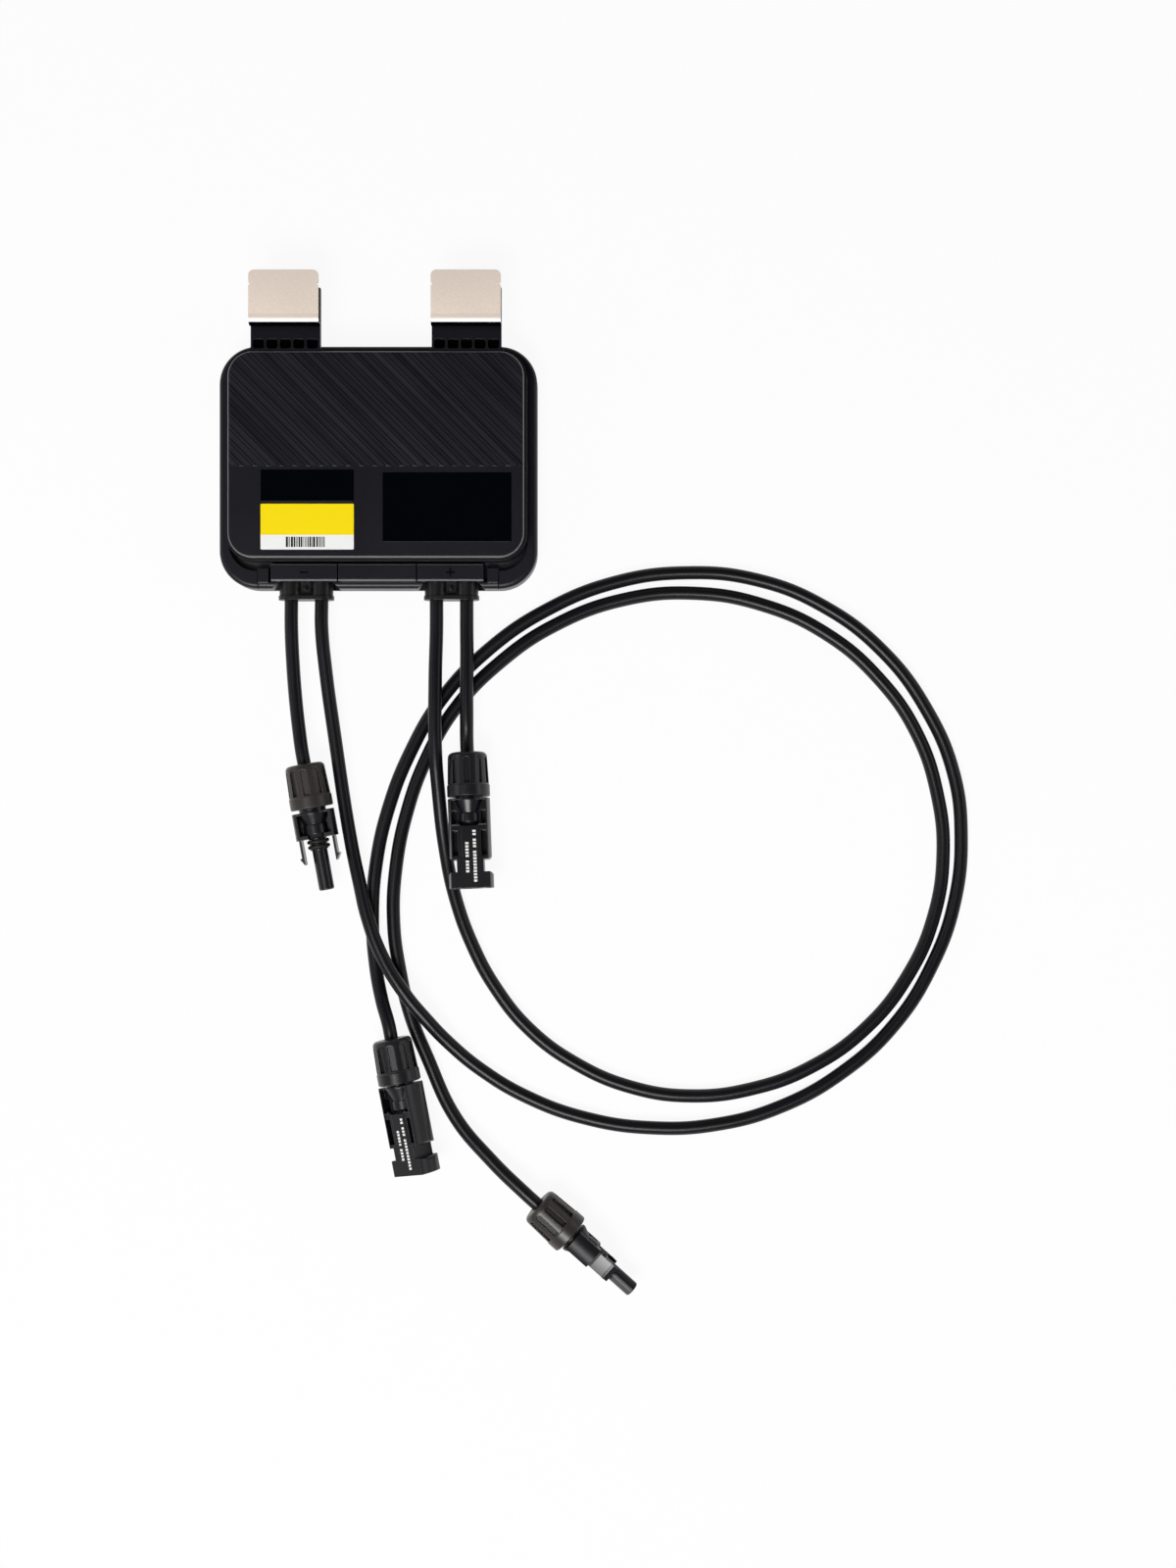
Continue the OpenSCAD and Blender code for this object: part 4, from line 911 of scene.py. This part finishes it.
class OPTIMIZER_OT_labels(Operator):
    """Plain labels on the lower field of the cover, with generic bars"""

    bl_idname = "optimizer.labels"
    bl_label = "Labels"

    def execute(self, context):
        size = context.scene.optimizer_labels
        low = FACE_Z - SINK
        top = FACE_Z + size.film
        soft_edge = 0.04 * MM
        dark = printed_film("label dark film", size.dark, 0.1, 0.2)
        ink = printed_film("label ink", size.ink, 0.4, 0.2)

        def field(name):
            x0, x1, y0, y1 = (v * MM for v in LABEL_FIELDS[name])
            return plate(name, x0, x1, y0, y1, low, top, size.corner, soft_edge)

        seat(field("label_dark_field"), dark)
        seat(field("label_wide_field"), dark)
        paper = field("label_bright_field")
        bpy.ops.object.mode_set(mode="EDIT")
        cut((0, YELLOW_ENDS, 0), (0, 1, 0))
        seat(paper, printed_film("label yellow", size.yellow, 0.42, 0.2))
        paper.data.materials.append(printed_film("label white", size.white, 0.42, 0.2))
        pick(paper, "FACE", lambda f: f.calc_center_median().y < YELLOW_ENDS)
        paper.active_material_index = 1
        bpy.ops.object.material_slot_assign()
        bpy.ops.object.mode_set(mode="OBJECT")
        left, right, y0, y1 = (v * MM for v in LABEL_BARS)
        spans = self.spans(random.Random(size.seed), left, right)
        seat(bars("label_bars", spans, y0, y1, top), ink)
        return {"FINISHED"}

    def spans(self, order, left, right):
        """Upright bars of mixed widths, as a pattern without a meaning."""
        spans = []
        while left < right - 1.1 * MM:
            wide = order.choice((0.3, 0.3, 0.45, 0.7, 0.95)) * MM
            spans.append((left, left + wide))
            left += wide + order.choice((0.25, 0.3, 0.45)) * MM
        return spans


class OPTIMIZER_OT_signs(Operator):
    """Minus and plus signs on the clamp blocks"""

    bl_idname = "optimizer.signs"
    bl_label = "Polarity signs"

    def execute(self, context):
        tones = context.scene.optimizer_finishes
        dark = soft_rubber("sign black", shade(tones.housing, 0.1), 0.8, 0.05)
        for side in ("minus", "plus"):
            low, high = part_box(side + "_clamp_block")
            middle = (low + high) / 2
            seat(self.sign(side + "_sign", middle.x, middle.y, side == "plus"), dark)
        return {"FINISHED"}

    def sign(self, name, x, y, crossed):
        arm, half, sunk, height, rounding = (v * MM for v in (1.85, 0.3, 0.03, 0.12, 0.05))
        piece = sheet_of(name, x - arm, x + arm, y - arm, y + arm, BLOCK_Z - sunk)
        for d in (-half, half):
            cut((x + d, 0, 0), (1, 0, 0))
            cut((0, y + d, 0), (0, 1, 0))

        def outside(face):
            at = face.calc_center_median()
            return abs(at.y - y) > half and (not crossed or abs(at.x - x) > half)

        pick(piece, "FACE", outside)
        bpy.ops.mesh.delete(type="FACE")
        bpy.ops.mesh.select_all(action="SELECT")
        raised(height)

        def rim(edge):
            return all(v.co.z > BLOCK_Z for v in edge.verts) and edge.calc_face_angle(0) > 1

        pick(piece, "EDGE", rim)
        bpy.ops.mesh.bevel(offset=rounding, segments=2, affect="EDGES")
        closed()
        return piece


class OPTIMIZER_OT_coupler_marks(Operator):
    """Two rows of plain white index dashes on each socket coupler"""

    bl_idname = "optimizer.coupler_marks"
    bl_label = "Coupler marks"

    def execute(self, context):
        white = printed_film("mark white", context.scene.optimizer_finishes.mark, 0.5, 0.2)
        for name in ("plus_input", "minus_output"):
            rows = [self.row(name, *row) for row in DASH_ROWS]
            seat(joined(name + "_mark", rows), white)
        return {"FINISHED"}

    def row(self, name, start, groups, middle):
        """Groups of dashes along the coupler, with a dash left out between groups."""
        dash, step, half, face = 0.95 * MM, 1.38 * MM, 0.7 * MM, 5.8 * MM
        at, spans = start * MM, []
        for count in groups:
            spans += [(at + i * step, at + i * step + dash) for i in range(count)]
            at += (count + 0.8) * step
        piece = bars(name + "_mark", spans, middle * MM - half, middle * MM + half, face)
        set_in(piece, coupler_place(name))
        return piece


class OPTIMIZER_PT_panel(Panel):
    """Lists the pieces of the optimizer and their settings"""

    bl_idname = "OPTIMIZER_PT_panel"
    bl_label = "Power optimizer"
    bl_space_type = "VIEW_3D"
    bl_region_type = "UI"
    bl_category = "Optimizer"

    def draw(self, context):
        for label, group, kinds in PIECES:
            box = self.layout.box()
            box.label(text=label)
            settings = getattr(context.scene, group)
            for name in settings.__annotations__:
                box.prop(settings, name)
            for kind in kinds:
                box.operator(kind.bl_idname)


# Settings by the name of their scene property, and the panel's sections with their operators
GROUPS = {
    "optimizer_stage": StageSettings,
    "optimizer_leads": LeadSettings,
    "optimizer_finishes": FinishSettings,
    "optimizer_cover": CoverSettings,
    "optimizer_labels": LabelSettings,
}
PIECES = (
    ("Stage", "optimizer_stage", (OPTIMIZER_OT_stage,)),
    ("Leads", "optimizer_leads", (OPTIMIZER_OT_leads,)),
    (
        "Finishes",
        "optimizer_finishes",
        (OPTIMIZER_OT_finishes, OPTIMIZER_OT_signs, OPTIMIZER_OT_coupler_marks),
    ),
    ("Cover", "optimizer_cover", (OPTIMIZER_OT_rib_ends,)),
    ("Labels", "optimizer_labels", (OPTIMIZER_OT_labels,)),
)


def register():
    for group in GROUPS.values():
        bpy.utils.register_class(group)
    for _, _, kinds in PIECES:
        for kind in kinds:
            bpy.utils.register_class(kind)
    bpy.utils.register_class(OPTIMIZER_PT_panel)
    for name, group in GROUPS.items():
        setattr(bpy.types.Scene, name, PointerProperty(type=group))


def unregister():
    for name in GROUPS:
        delattr(bpy.types.Scene, name)
    bpy.utils.unregister_class(OPTIMIZER_PT_panel)
    for _, _, kinds in PIECES:
        for kind in kinds:
            bpy.utils.unregister_class(kind)
    for group in GROUPS.values():
        bpy.utils.unregister_class(group)


def main():
    register()
    bpy.ops.optimizer.stage()
    bpy.ops.optimizer.leads()
    bpy.ops.optimizer.finishes()
    bpy.ops.optimizer.rib_ends()
    bpy.ops.optimizer.labels()
    bpy.ops.optimizer.signs()
    bpy.ops.optimizer.coupler_marks()


if __name__ == "__main__":
    main()
